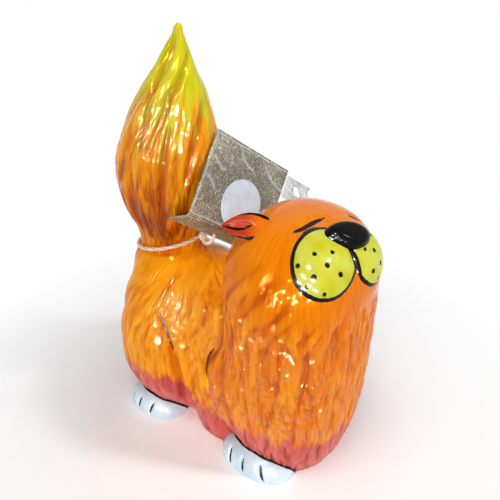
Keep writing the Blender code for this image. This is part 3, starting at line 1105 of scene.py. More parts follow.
@dataclass
class Coat(Glazed):
    """A carved coat of fur that is cast over one solid and stands for it."""

    columns: int
    side_rows: int
    fan_rows: int
    spring: float
    axis: tuple[Place, ...]
    lays: tuple[Lay, ...]
    seed: int
    thick_heights: Band
    base: float = 0.3
    trusted: float = 0.0
    sense: int = -1
    smoothing: Spot = (7.0, 4.0)
    block: tuple[Place, Place] | None = None
    strokes: tuple[Stroke, ...] = ()
    foot_rows: int = 5
    sink: float = 0.6
    # Painted shade along the seams with the neighbours: its reach, its spread, its strength, and the extra
    # strength low down
    seam_reach: float = 5.5
    seam_spread: float = 0.45
    seam_shade_strength: float = 0.6
    low_shade_strength: float = 0.25
    low_shade_heights: Spot = (40.0, 66.0)

    def stretch(self, solid: Piece) -> Skin:
        """Rolls a sheet round the solid, with level rows up its side and a fan over its top.

        Args:
            solid: The CAD node that the coat stands for.

        Returns:
            The smooth skin before any carving.
        """
        rows = self.foot_rows + self.side_rows + self.fan_rows
        add = bpy.ops.mesh.primitive_grid_add
        sheet = begin(self.name, add, x_subdivisions=self.columns, y_subdivisions=rows, size=1.0)
        local = points_of(sheet)
        column = np.rint((local[:, 0] + 0.5) * self.columns).astype(int)
        level = np.rint((local[:, 1] + 0.5) * rows).astype(int)
        index = np.zeros((rows + 1, self.columns + 1), int)
        index[level, column] = np.arange(len(local))
        sides = np.linspace(self.base, self.spring, self.side_rows + 1)
        heights = np.concatenate([sides, np.full(self.fan_rows, self.spring)])
        fan = np.linspace(0, math.pi / 2, self.fan_rows + 1)[1:]
        lifts = np.concatenate([np.zeros(self.side_rows + 1), fan])
        origins = self._axis_at(heights) * MM
        angles = np.arange(self.columns) * 2 * math.pi / self.columns
        reach = self._reach(solid, origins, lifts, angles)
        sure = int(np.searchsorted(sides, self.trusted))
        reach[:sure] = reach[sure]
        reach = soften(reach, *self.smoothing)
        reach[-1] = reach[-1].mean()
        out, up = np.cos(lifts)[:, None] * reach, np.sin(lifts)[:, None] * reach
        upper = origins[:, None] + np.stack([out * np.cos(angles), out * np.sin(angles), up], axis=2)
        centre = upper[0].mean(axis=0)
        shares = np.arange(self.foot_rows)[:, None, None] / self.foot_rows
        return Skin(sheet, index, np.concatenate([centre + (upper[0] - centre) * shares, upper]))

    def _axis_at(self, heights: np.ndarray) -> np.ndarray:
        """Finds the middle of the solid at each height, in millimetres.

        Args:
            heights: The heights in millimetres.

        Returns:
            One place for each height.
        """
        keys = np.array(self.axis)
        across = np.interp(heights, keys[:, 2], keys[:, 0])
        deep = np.interp(heights, keys[:, 2], keys[:, 1])
        return np.stack([across, deep, heights], axis=1)

    def _reach(self, solid: Piece, origins: np.ndarray, lifts: np.ndarray, angles: np.ndarray) -> np.ndarray:
        """Measures from the axis out to the solid's outer face in every direction.

        Args:
            solid: The CAD node.
            origins: The middle of each row.
            lifts: The angle of each row's rays above the level.
            angles: The angle of each column.

        Returns:
            The distances in metres, by row and column.
        """
        corners = [vertex.co.copy() for vertex in solid.data.vertices]
        faces = [tuple(face.vertices) for face in solid.data.polygons]
        if self.block:
            low, high = (Vector(corner) * MM for corner in self.block)
            first = len(corners)
            for k in range(8):
                corners.append(Vector([(high if k >> axis & 1 else low)[axis] for axis in range(3)]))
            for quad in ((0, 1, 3, 2), (4, 5, 7, 6), (0, 1, 5, 4), (2, 3, 7, 6), (0, 2, 6, 4), (1, 3, 7, 5)):
                faces.append(tuple(first + k for k in quad))
        tree = BVHTree.FromPolygons(corners, faces)
        reach = np.full((len(origins), len(angles)), np.nan)
        for r, (origin, lift) in enumerate(zip(origins, lifts)):
            row, level = reach[r], math.cos(lift)
            for c, angle in enumerate(angles):
                out = Vector((math.cos(angle) * level, math.sin(angle) * level, math.sin(lift)))
                hit = tree.ray_cast(Vector(origin) + RAY_START * out, -out)
                if hit[0] is not None:
                    row[c] = RAY_START - hit[3]
            gaps = np.isnan(row)
            known = np.flatnonzero(~gaps)
            if len(known):
                row[gaps] = np.interp(np.flatnonzero(gaps), known, row[known], period=len(row))
            elif r:
                row[:] = reach[r - 1]
        return reach

    def dye_at(self, lie: np.ndarray, luck: float) -> np.ndarray:
        """Tells how far each place along a lock takes the second colour."""
        raise NotImplementedError

    def bare_dye(self, places: np.ndarray) -> np.ndarray:
        """Tells how far the skin under the locks takes the second colour."""
        raise NotImplementedError

    def painted_shade_at(self, places: np.ndarray) -> np.ndarray:
        """Tells how much painted shade darkens each place."""
        return np.zeros(places.shape[:2])

    def swell_at(self, places: np.ndarray) -> np.ndarray:
        """Tells how far each place stands out from the solid, in millimetres."""
        return np.zeros(places.shape[:2])

    def thick_at(self, places: np.ndarray) -> np.ndarray:
        """Tells where the glaze ran thick and set in waves."""
        return band(places[:, :, 2], *self.thick_heights)

    def lean_at(self, root: np.ndarray) -> float:
        """Tells how far a lock that roots here runs sideways for its length."""
        return 0.0

    def depth_at(self, places: np.ndarray) -> np.ndarray:
        """Tells how much of the carving each place keeps."""
        return np.ones(places.shape[:2])

    def carve(self, skin: Skin, neighbours: Sequence[BVHTree]) -> None:
        """Carves the fur into the smooth skin, and seats the coat on the figurine.

        Args:
            skin: The smooth skin.
            neighbours: The smooth skins next to it, along whose seams shade is painted.
        """
        places = skin.points / MM
        fur = Fur(skin, self.seed, self.sense, self.dye_at, self.lean_at, self.bare_dye(places))
        for lay in self.lays:
            fur.comb(lay)
        kept = self.depth_at(places)
        crest = np.percentile(fur.height, CREST_PERCENT)
        carved = kept * (fur.height - self.sink * crest) + self.swell_at(places)
        flat = places.reshape(-1, 3)
        ink = np.full(len(flat), NO_INK)
        # Painted shade along the seams, to which the unpainted strokes add glaze pooled in their grooves
        pooled_and_seam_shade = self._seam_shade(flat, neighbours)
        for stroke in self.strokes:
            away = stroke.distance(flat)
            if stroke.painted:
                ink = np.minimum(ink, away)
            else:
                pooled_and_seam_shade = np.maximum(pooled_and_seam_shade, 0.5 * stroke.cut(away) / stroke.depth)
            carved = carved - stroke.cut(away).reshape(carved.shape)
        stand = fur.stand()
        raised = skin.points + skin.normals() * (carved * MM)[:, :, None]
        raised[0] = raised[0].mean(axis=0)
        raised[-1] = raised[-1].mean(axis=0)
        raised[:, :, 2] = np.maximum(raised[:, :, 2], 0.0)
        put_points(skin.piece, skin.flat(raised))
        # Painted shade lowers the tone where the coat asks for it, and the tone rises on the ridges
        tone = 0.5 + (0.4 + 0.6 * kept) * (fur.tone - 0.5) + 0.5 * kept * stand - self.painted_shade_at(places)
        # The groove mark holds glaze pooled in the hollows and incisions, and painted shade along the seams
        marks = {
            Mark.GROOVE_AND_SHADE: np.maximum(0.8 * kept * np.clip(0.04 - stand, 0, 1), pooled_and_seam_shade.reshape(carved.shape)),
            Mark.TONE: soften(tone, 2.0, 1.0),
            Mark.DYE: soften(fur.dye, 1.5, 0.8),
            Mark.CURL: self.thick_at(places),
            Mark.INK: ink.reshape(carved.shape),
        }
        for mark, values in marks.items():
            put_mark(skin.piece, mark, skin.flat(values))
        self.fire(skin.piece)

    def _seam_shade(self, places: np.ndarray, neighbours: Sequence[BVHTree]) -> np.ndarray:
        """Tells how much painted shade darkens each place along the seams with the neighbours, more of it low
        down.

        Args:
            places: Rows of places in millimetres.
            neighbours: The smooth skins next to the coat.

        Returns:
            The amounts, from 0 to 1.
        """
        if not self.seam_reach:
            return np.zeros(len(places))
        near = np.full(len(places), np.inf)
        for tree in neighbours:
            for k, place in enumerate(places):
                hit = tree.find_nearest(Vector(place) * MM, self.seam_reach * MM)
                if hit[0] is not None:
                    near[k] = min(near[k], hit[3] / MM)
        dark = self.seam_shade_strength + self.low_shade_strength * (1 - eased(places[:, 2], *self.low_shade_heights))
        return dark * np.exp(-((near / (self.seam_spread * self.seam_reach)) ** 2))


@dataclass(frozen=True)
class FaceFrame:
    """The frame of the face: where its middle is and how far it turns to the cat's right."""

    middle: Place = (0.0, -37.0, 98.0)
    turn: float = -17.0

    def place(self, sideways: float, lift: float) -> Matrix:
        """Gives a frame with local -Y out of the face.

        Args:
            sideways: The angle to the cat's left in degrees.
            lift: The angle upwards in degrees.

        Returns:
            The frame's matrix in metres.
        """
        across, up = turned(self.turn + sideways, "Z"), turned(-lift, "X")
        return Matrix.Translation(Vector(self.middle) * MM) @ across @ up

    def _along(self, places: np.ndarray, degrees: float) -> np.ndarray:
        """Measures places from the middle along a level direction, in millimetres.

        Args:
            places: Places in millimetres.
            degrees: The direction, from +X towards +Y.

        Returns:
            The distances.
        """
        turn = math.radians(degrees)
        off = places - np.array(self.middle)
        return off[..., 0] * math.cos(turn) + off[..., 1] * math.sin(turn)

    def across(self, places: np.ndarray) -> np.ndarray:
        """Measures places to the cat's left of the face's middle, in millimetres."""
        return self._along(places, self.turn)

    def ahead(self, places: np.ndarray) -> np.ndarray:
        """Measures places ahead of the head's middle, in millimetres."""
        return self._along(places, self.turn - 90)


EYE_LINES = (
    ((-15.6, -41.2, 130.2), (-10.8, -43.7, 131.1), (-5.6, -44.9, 131.4), (1.4, -46.3, 131.5)),
    ((14.0, -51.6, 128.2), (18.0, -54.0, 126.0), (22.6, -56.4, 122.8)),
)
EYES = tuple(Stroke(line, half_width=1.25, depth=0.8, taper=0.2) for line in EYE_LINES)

TAIL_NOTCH = ((-2.4, 28.6, 195.0), (-4.6, 29.6, 190.6), (-7.6, 31.4, 184.4), (-11.4, 34.2, 175.4))
TAIL_GROOVES = (
    (
        (-4.2, 28.2, 191.2),
        (-7.2, 30.7, 184.9),
        (-11.4, 34.2, 175.4),
        (-15.6, 35.8, 165.9),
        (-19.6, 36.4, 155.0),
    ),
    (
        (0.8, 22.6, 188.4),
        (-6.8, 22.5, 178.6),
        (-11.0, 25.2, 172.9),
        (-14.4, 26.2, 165.3),
        (-20.3, 31.2, 149.5),
    ),
    (
        (2.0, 15.5, 172.0),
        (-1.0, 15.3, 164.5),
        (-6.5, 14.7, 155.6),
        (-10.4, 15.7, 146.4),
        (-12.0, 17.3, 136.0),
    ),
    (
        (-14.9, 23.0, 159.0),
        (-17.6, 24.0, 150.3),
        (-18.8, 24.9, 140.1),
        (-19.1, 26.2, 129.1),
        (-18.3, 30.0, 113.9),
    ),
    ((-22.0, 42.6, 140.5), (-22.3, 42.6, 129.6), (-21.1, 42.1, 117.8), (-17.3, 43.6, 106.0)),
)
TAIL_STROKES = (
    Stroke(TAIL_NOTCH, half_width=1.8, depth=2.4, taper=0.4, painted=False),
    *(Stroke(line, half_width=1.3, depth=1.6, taper=0.4, painted=False) for line in TAIL_GROOVES),
)

HAUNCH_LINE = (
    (-30.2, 26.9, 71.7),
    (-31.3, 22.8, 67.5),
    (-32.4, 18.7, 61.8),
    (-33.3, 16.0, 56.3),
    (-33.6, 14.7, 50.7),
)
HAUNCH_FOLD = ((-33.4, 15.4, 54.0), (-33.5, 13.5, 43.6), (-32.8, 12.2, 33.6), (-29.5, 13.8, 16.8))
# Painted shadow: a black line in a groove along the edge of the elbow's swell, where the swell shades the
# flank
ELBOW_SHADOW_LINE = (
    (-28.3, -7.4, 60.8),
    (-28.6, -4.6, 55.5),
    (-29.0, -3.2, 49.0),
    (-29.4, -2.8, 42.0),
    (-30.2, -3.4, 34.0),
)
FLANK_STROKES = (
    Stroke(HAUNCH_LINE, half_width=0.65, depth=2.0, taper=0.35),
    Stroke(HAUNCH_FOLD, half_width=1.3, depth=2.6, taper=0.4, painted=False),
    Stroke(ELBOW_SHADOW_LINE, half_width=0.9, depth=2.0, taper=0.4),
)

FRONT_TOES = (((-22.1, 8.6), (-23.4, 1.0)), ((-30.7, 8.8), (-32.0, 1.0)), ((-40.6, 8.9), (-43.6, 1.0)))
REAR_TOES = (((47.2, 7.4), (48.6, 1.0)), ((40.2, 7.7), (41.4, 1.0)), ((30.9, 8.3), (32.6, 1.0)))


@dataclass
class HemmedCoat(Coat):
    """A coat whose locks take a second colour below a hem."""

    hem: float = 28.0
    ragged: float = 2.5
    fade: float = 2.0
    hangs: float = 4.0
    bare_fade: float = 6.0

    def _hem_at(self, places: np.ndarray) -> np.ndarray:
        """Gives the hem's height in millimetres."""
        raise NotImplementedError

    def dye_at(self, lie: np.ndarray, luck: float) -> np.ndarray:
        """Dyes the locks that end below the hem."""
        below = self._hem_at(lie[-1]) + self.ragged * luck - lie[:, 2]
        return eased(below, -self.fade, self.fade) * float(below[-1] > self.hangs)

    def bare_dye(self, places: np.ndarray) -> np.ndarray:
        """Dyes the skin below the hem."""
        return 1 - eased(places[:, :, 2] - self._hem_at(places), 0, self.bare_fade)


@dataclass
class HeadChestCoat(HemmedCoat):
    """The coat of the head and chest: locks that hang from the cheeks to a dyed hem."""

    face: FaceFrame = FaceFrame()
    elbow: Place = (30.0, -12.0, 54.0)
    elbow_swell: float = 4.4
    elbow_reach: float = 10.0
    hem_drop: float = 5.0
    drop_over: Spot = (-16.0, 14.0)
    thick_side: Spot = (-20.0, -2.0)
    sweep: float = 0.7
    sweep_height: float = 118.0
    sweep_spread: float = 11.0
    sweep_side: float = 14.0
    crown: Spot = (115.0, 129.0)
    crown_smooth: float = 0.84
    muzzle: Spot = (92.0, 102.0)
    muzzle_ahead: Spot = (6.0, 18.0)
    muzzle_side: Spot = (24.0, 30.0)
    muzzle_smooth: float = 0.95

    def swell_at(self, places: np.ndarray) -> np.ndarray:
        """Swells the elbows over the flanks.

        Args:
            places: The grid of places in millimetres.

        Returns:
            The distances in millimetres.
        """
        off = places - np.array(self.elbow)
        off[..., 0] = np.abs(places[..., 0]) - self.elbow[0]
        return self.elbow_swell * np.exp(-(np.linalg.norm(off, axis=2) ** 2) / self.elbow_reach**2)

    def _hem_at(self, places: np.ndarray) -> np.ndarray:
        """Gives the hem's height, which drops towards the cat's left."""
        return self.hem - self.hem_drop * eased(places[..., 0], *self.drop_over)

    def thick_at(self, places: np.ndarray) -> np.ndarray:
        """Thickens the glaze down the side of the chest that the face turns to."""
        side = 1 - eased(self.face.across(places), *self.thick_side)
        return side * super().thick_at(places)

    def lean_at(self, root: np.ndarray) -> float:
        """Sweeps the cheeks' locks back from the muzzle.

        Args:
            root: The root's place in millimetres.

        Returns:
            The run for each millimetre of lock.
        """
        side = float(self.face.across(root))
        swept = self.sweep * math.exp(-(((root[2] - self.sweep_height) / self.sweep_spread) ** 2))
        return swept * math.tanh(side / self.sweep_side)

    def depth_at(self, places: np.ndarray) -> np.ndarray:
        """Leaves the muzzle and the crown nearly smooth.

        Args:
            places: The grid of places in millimetres.

        Returns:
            The shares, from 0 to 1.
        """
        height = places[:, :, 2]
        crown = 1 - self.crown_smooth * eased(height, *self.crown)
        side = np.abs(self.face.across(places))
        front = eased(self.face.ahead(places), *self.muzzle_ahead)
        muzzle = front * eased(height, *self.muzzle) * (1 - eased(side, *self.muzzle_side))
        return crown * (1 - self.muzzle_smooth * muzzle)


@dataclass
class RearCoat(HemmedCoat):
    """The coat of the rear body: fur that falls from the tail over the rump and the haunches."""

    hem: float = 35.0
    hem_drop: float = 17.0
    belly: float = 15.0
    drop_over: Spot = (0.0, 10.0)
    neck: Place = (40.0, 16.9, 92.4)
    collar: Spot = (3.0, 8.0)
    collar_slope: float = 1.9
    collar_blend: float = 2.0
    collar_from: Spot = (70.0, 82.0)
    thick_behind: Spot = (18.0, 34.0)
    sweep: float = 0.5
    sweep_side: float = 10.0
    sweep_from: Spot = (60.0, 84.0)
    haunch_smooth: float = 0.2
    haunch: Spot = (50.0, 80.0)

    def stretch(self, solid: Piece) -> Skin:
        """Rolls the sheet round the solid, and draws it up to the tail's neck.

        Args:
            solid: The CAD node that the coat stands for.

        Returns:
            The smooth skin before any carving.
        """
        skin = super().stretch(solid)
        places = skin.points / MM
        at, radius, top = self.neck
        away = np.hypot(places[..., 0], places[..., 1] - at)
        short = top - self.collar_slope * np.maximum(away - radius, 0) - places[..., 2]
        near, far = (radius + step for step in self.collar)
        lift = 0.5 * (short + np.sqrt(short**2 + self.collar_blend)) * (1 - eased(away, near, far))
        lift *= eased(places[..., 2], *self.collar_from)
        skin.points[..., 2] += lift * MM
        return skin

    def _hem_at(self, places: np.ndarray) -> np.ndarray:
        """Gives the hem's height, which drops towards the belly's front."""
        return self.hem - self.hem_drop * eased(self.belly - places[..., 1], *self.drop_over)

    def thick_at(self, places: np.ndarray) -> np.ndarray:
        """Thickens the glaze on the flanks behind the shoulders."""
        return super().thick_at(places) * (1 - eased(places[:, :, 1], *self.thick_behind))

    def lean_at(self, root: np.ndarray) -> float:
        """Sweeps the back's fur towards the head."""
        high = float(eased(np.array(root[2]), *self.sweep_from))
        return self.sweep * math.tanh(root[0] / self.sweep_side) * high

    def depth_at(self, places: np.ndarray) -> np.ndarray:
        """Keeps the haunches' fur shallower than the back's."""
        return 1 - self.haunch_smooth * (1 - eased(places[:, :, 2], *self.haunch))


@dataclass
class TailCoat(Coat):
    """The coat of the tail: long locks that rise to a dyed flame tip."""

    tip: Spot = (153.0, 173.0)
    tip_ragged: float = 9.0
    turning: float = 0.1
    foot: float = 94.5
    flare: float = 1.0
    flare_height: float = 7.0
    finger: Spot = (184.0, 201.0)
    finger_radius: float = 2.8
    # Painted shade on the foot of the tail, in place of the tag's shadow: its strength and its heights
    shade: float = 0.36
    painted_shade_heights: Band = (95.0, 108.0, 112.0, 150.0)
    tip_smooth: float = 0.8
    smooth_from: Spot = (168.0, 188.0)

    def stretch(self, solid: Piece) -> Skin:
        """Rolls the sheet round the solid, blunts its tip and flares its foot onto the back.

        Args:
            solid: The CAD node that the coat stands for.

        Returns:
            The smooth skin before any carving.
        """
        skin = super().stretch(solid)
        places = skin.points / MM
        low, high = self.finger
        height = places[..., 2]
        up = np.clip((height - low) / (places[-1, 0, 2] - low), 0, 1)
        height += (high - places[-1, 0, 2]) * up
        middle = self._axis_at(height.ravel()).reshape(places.shape)
        out = places - middle
        out[..., 2] = 0
        wide = np.maximum(np.linalg.norm(out, axis=2), 1e-6)
        wanted = up**0.5 * self.finger_radius * np.sqrt(np.clip(1 - up**6, 0, 1))
        flared = self.flare * np.clip((self.foot - height) / self.flare_height, 0, 1) ** 2
        places += out * (np.maximum(wanted / wide, 1) - 1 + flared / wide)[..., None]
        skin.points = places * MM
        return skin

    def dye_at(self, lie: np.ndarray, luck: float) -> np.ndarray:
        """Dyes the locks towards the tip, each from its own height."""
        return eased(lie[:, 2] + self.tip_ragged * luck, *self.tip)

    def bare_dye(self, places: np.ndarray) -> np.ndarray:
        """Dyes the skin towards the tip."""
        return eased(places[:, :, 2], *self.tip)

    def painted_shade_at(self, places: np.ndarray) -> np.ndarray:
        """Paints shade all round the foot of the tail, in place of the shadow that the tag casts there."""
        return self.shade * band(places[:, :, 2], *self.painted_shade_heights)

    def depth_at(self, places: np.ndarray) -> np.ndarray:
        """Leaves the tip smooth."""
        return 1 - self.tip_smooth * eased(places[:, :, 2], *self.smooth_from)

    def lean_at(self, root: np.ndarray) -> float:
        """Turns the locks a little round the tail as they rise."""
        return self.turning


@dataclass
class Sprig(Glazed):
    """A low dome that is pressed onto the head, with a hidden back that closes it."""

    sideways: float
    lift: float
    radii: Spot
    tilt: float
    raised: float = 2.4
    fullness: float = 3.0
    rim: float = 2.2
    dots: tuple[Place, ...] = ()
    point: float = 0.0
    inner: int = 0
    parting: float = 1.6
    parting_line: float = 1.5
    parting_over: Spot = (-1.0, 2.5)
    parting_fall: float = 0.7
    sunk: float = 0.35
    back: float = 1.6
    columns: int = 128
    rows: int = 96
    reach: float = 80.0

    def build(self, face: FaceFrame, head: BVHTree) -> None:
        """Presses the dome onto the head and paints its rim and dots.

        Args:
            face: The face's frame.
            head: The smooth head's search tree.
        """
        ball = self.ball(self.columns, self.rows)
        local = points_of(ball)
        lift = np.arcsin(np.clip(local[:, 2], -1, 1))
        share = 1 - np.abs(lift) / (math.pi / 2)
        flat = self._flat(share, np.arctan2(local[:, 1], local[:, 0]))
        place = face.place(self.sideways, self.lift)
        inward = (place.to_3x3() @ Vector((0, 1, 0))).normalized()
        hidden = lift < -1e-6
        crown = self.raised * (1 - share**self.fullness) - self.sunk
        rise = np.where(hidden, -self.back, crown)
        points = np.empty_like(local)

        def over(spots: np.ndarray) -> np.ndarray:
            """Measures how far places lie past the face's middle, in millimetres."""
            return self.inner * (face.across(spots / MM) - self.parting)

        for k, (x, z) in enumerate(flat):
            hit, normal, _, _ = head.ray_cast(place @ (Vector((x, -self.reach, z)) * MM), inward)
            if hit is None:
                hit, normal, _, _ = head.find_nearest(place @ (Vector((x, -self.reach / 2, z)) * MM))
            points[k] = hit + normal * (rise[k] * MM)
            if self.inner and not hidden[k]:
                fall = self.parting_fall * self.raised * MM
                points[k] -= normal * (fall * eased(over(points[k]), *self.parting_over))
        ink = self._ink(share, flat)
        if self.inner:
            ink = np.minimum(ink, -self.parting_line - over(points))
        put_points(ball, points)
        put_mark(ball, Mark.INK, np.where(hidden, -1.0, ink))
        self.fire(ball)

    def _flat(self, share: np.ndarray, angle: np.ndarray) -> np.ndarray:
        """Lays the ball's points out on the sprig's flat outline, in millimetres.

        Args:
            share: How far out each point is, from 0 to 1.
            angle: Each point's angle round the sprig.

        Returns:
            Rows of X and Z.
        """
        x = share * self.radii[0] * np.cos(angle)
        z = share * self.radii[1] * np.sin(angle)
        below = np.maximum(-np.sin(angle), 0)
        x = x * (1 - self.point * below**2)
        z = z * (1 + 0.5 * self.point * below**3)
        cos, sin = math.cos(math.radians(self.tilt)), math.sin(math.radians(self.tilt))
        return np.stack([x * cos - z * sin, x * sin + z * cos], axis=1)

    def _ink(self, share: np.ndarray, flat: np.ndarray) -> np.ndarray:
        """Measures to the edge of the painted rim and dots, in millimetres.

        Args:
            share: How far out each point is, from 0 to 1.
            flat: Rows of X and Z in millimetres.

        Returns:
            The distances, below 0 on the paint.
        """
        ink = np.full(len(flat), NO_INK)
        if self.rim:
            ink = np.minimum(ink, (1 - share) * min(self.radii) - self.rim)
        for x, z, half in self.dots:
            ink = np.minimum(ink, np.hypot(flat[:, 0] - x, flat[:, 1] - z) - half)
        return ink


@dataclass
class Ear(Glazed):
    """A leaf-shaped ear laid back over the head, cupped and folded along its middle."""

    side: Side
    base: Place
    tip: Place
    facing: Place
    half_width: float = 6.0
    thick: float = 1.5
    cup: float = 1.0
    fold: float = 0.9
    fold_at: float = -0.12
    fold_spread: float = 0.3
    fold_run: Band = (0.2, 0.5, 0.85, 1.0)
    line: float = 0.75
    washed: Spot = (0.12, 0.55)
    segments: tuple[int, int] = (96, 64)

    def _width(self, run: np.ndarray) -> np.ndarray:
        """Gives the leaf's half width from its base, 0, to its point, 1."""
        return self.half_width * np.maximum(np.sin(math.pi * (0.22 + 0.78 * run)), 0.0) ** 0.8

    def _strokes(self, length: float) -> list[Stroke]:
        """Lays out the painted edges and fold, in millimetres along and across the leaf.

        Args:
            length: The leaf's length.

        Returns:
            The strokes.
        """
        keys = (
            ((0.62, 0.95), (0.34, 0.93), (0.05, 0.86), (-0.06, 0.8)),
            ((0.95, -0.1), (0.74, -0.3), (0.56, -0.22), (0.36, 0.08)),
            ((0.66, -0.96), (0.4, -0.9), (0.12, -0.84), (-0.06, -0.7)),
        )
        made = []
        for line in keys:
            run, across = np.array(line).T
            spots = zip(run * length, across * self._width(np.maximum(run, 0)), np.zeros(len(run)))
            places = tuple(tuple(map(float, spot)) for spot in spots)
            made.append(Stroke(places, half_width=self.line, taper=0.4))
        return made

    def build(self) -> None:
        """Shapes a ball into the leaf, and paints its edges and its fold."""
        ball = self.ball(*self.segments)
        x, y, z = points_of(ball)[:, [2, 0, 1]].T
        ring = np.maximum(np.sqrt(y**2 + z**2), 1e-9)
        run, side, lift = (x + 1) / 2, y / ring, z / ring
        span = Vector(self.tip) - Vector(self.base)
        along, across = run * span.length, side * self._width(run)
        body = np.sqrt(np.maximum(1 - x**2, 0)) ** 0.7
        hollow = np.exp(-(((side - self.fold_at) / self.fold_spread) ** 2)) * band(run, *self.fold_run)
        up = lift * self.thick * body + self.cup * side**2 * body
        up = up - np.where(lift > 0, self.fold, 0.4 * self.fold) * hollow
        length = span.normalized()
        out = Vector(self.facing)
        out = (out - out.dot(length) * length).normalized()
        width = length.cross(out) if self.side is Side.RIGHT else out.cross(length)
        axes = np.array([length, width, out])
        put_points(ball, (np.array(self.base) + np.stack([along, across, up], axis=1) @ axes) * MM)
        laid = np.stack([along, across, np.zeros(len(x))], axis=1)
        ink = np.minimum.reduce([stroke.distance(laid) for stroke in self._strokes(span.length)])
        put_mark(ball, Mark.INK, np.where(lift > -0.3, np.minimum(ink, NO_INK), NO_INK))
        put_mark(ball, Mark.DYE, 1 - eased(run, *self.washed))
        self.fire(ball)


@dataclass
class Paw(Glazed):
    """A low squared paw with incised toes and a painted line along the body."""

    centre: Spot
    radii: Place
    toes: tuple[tuple[Spot, Spot], ...]
    side: Side
    squareness: float = 2.4
    seam: float = 1.25
    toe_line: float = 0.62
    toe_depth: float = 1.0
    segments: tuple[int, int] = (220, 140)

    def build(self, body: BVHTree) -> None:
        """Squares a ball, flattens its foot and cuts its toes.

        Args:
            body: The smooth coat that the paw comes out of.
        """
        ball = self.ball(*self.segments)
        local = points_of(ball)
        square = np.sign(local) * np.abs(local) ** (2 / self.squareness)
        square[:, 2] = np.maximum(square[:, 2], 0)
        places = square * np.array(self.radii)
        places[:, 0] += self.side.value * self.centre[0]
        places[:, 1] += self.centre[1]
        out = local / np.array(self.radii)
        out[:, 2] = np.maximum(out[:, 2], 0)
        out = out / np.maximum(np.linalg.norm(out, axis=1, keepdims=True), 1e-9)
        ink = np.full(len(places), NO_INK)
        outer = self.side.value * places[:, 0] > self.centre[0]
        for toe in self.toes:
            line = tuple((0.0, *end) for end in toe)
            stroke = Stroke(line, half_width=self.toe_line, depth=self.toe_depth, taper=0.2)
            away = np.where(outer, stroke.distance(places * (0.0, 1.0, 1.0)), NO_INK)
            places = places - out * stroke.cut(away)[:, None]
            ink = np.minimum(ink, away)
        for k, place in enumerate(places):
            near = body.find_nearest(Vector(place) * MM)
            ink[k] = min(ink[k], near[3] / MM - self.seam)
        put_points(ball, places * MM)
        put_mark(ball, Mark.INK, ink)
        self.fire(ball)


@dataclass
class Tie:
    """The cord round the tail's neck, with its knot and the loop that holds the tag."""

    finish: Finish = CordCotton()
    middle: Place = (0.0, 40.0, 95.5)
    ring: float = 17.75
    sag: float = 4.5
    cord: float = 0.95
    loop_cord: float = 1.0
    loop: float = 4.05
    knot: float = 2.3
    wraps: tuple[Spot, ...] = ((20.0, 0.0), (75.0, 60.0), (-40.0, 120.0))
    plies: int = 3
    core: float = 0.74
    twist: float = 5.0
    sides: int = 30
    steps_per_mm: int = 14
    least_steps: int = 64

    def _twisted(self, name: str, ring: float, cord: float) -> Piece:
        """Adds a ring of twisted cord about Z, marked where it is deep between its plies.

        Args:
            name: The piece's name.
            ring: The ring's radius in millimetres.
            cord: The cord's radius in millimetres.

        Returns:
            The ring, in millimetres.
        """
        made = begin(
            name,
            bpy.ops.mesh.primitive_torus_add,
            major_segments=max(self.least_steps, int(ring * self.steps_per_mm)),
            minor_segments=self.sides,
            major_radius=ring,
            minor_radius=cord,
        )
        local = points_of(made)
        angle = np.arctan2(local[:, 1], local[:, 0])
        round_it = np.arctan2(local[:, 2], np.hypot(local[:, 0], local[:, 1]) - ring)
        turns = round(2 * math.pi * ring / self.twist)
        ply = np.abs(np.sin(0.5 * (self.plies * round_it + turns * angle)))
        size = cord * (self.core + (1 - self.core) * ply**0.7)
        out, up = ring + size * np.cos(round_it), size * np.sin(round_it)
        put_points(made, np.stack([out * np.cos(angle), out * np.sin(angle), up], axis=1))
        put_mark(made, Mark.CURL, 1 - ply)
        return made

    def build(self, tag: Tag) -> None:
        """Makes the ring round the tail, and the knot with its loop.

        Args:
            tag: The tag whose flap the loop goes through.
        """
        cord = self._twisted("twisted_cord", self.ring, self.cord)
        points = points_of(cord)
        points[:, 2] -= self.sag * points[:, 1] / self.ring
        put_points(cord, (points + np.array(self.middle)) * MM)
        dress(cord, Body.TIE, self.finish, ["tail_cord"])
        across, up, _ = tag.hole
        spot = Vector((across, tag.card / 2, up + self.loop))
        bead = Matrix.Translation(spot + Vector((0, 0, self.loop)))
        strands = [("knot_loop", self.loop, Matrix.Translation(spot) @ turned(90, "Y"))]
        for k, (tip, roll) in enumerate(self.wraps):
            place = bead @ turned(roll, "Z") @ turned(tip, "X")
            strands.append((f"knot_wrap_{k}", self.knot - self.loop_cord, place))
        made = []
        for name, ring, place in strands:
            strand = self._twisted(name, ring, self.loop_cord)
            put_points(strand, moved(moved(points_of(strand), place) * MM, tag.flap_place()))
            made.append(strand)
        choose(made[0])
        for strand in made:
            strand.select_set(True)
        bpy.ops.object.join()
        made[0].name = "cord_knot_loop"
        dress(made[0], Body.TIE, self.finish, ["cord_knot"])


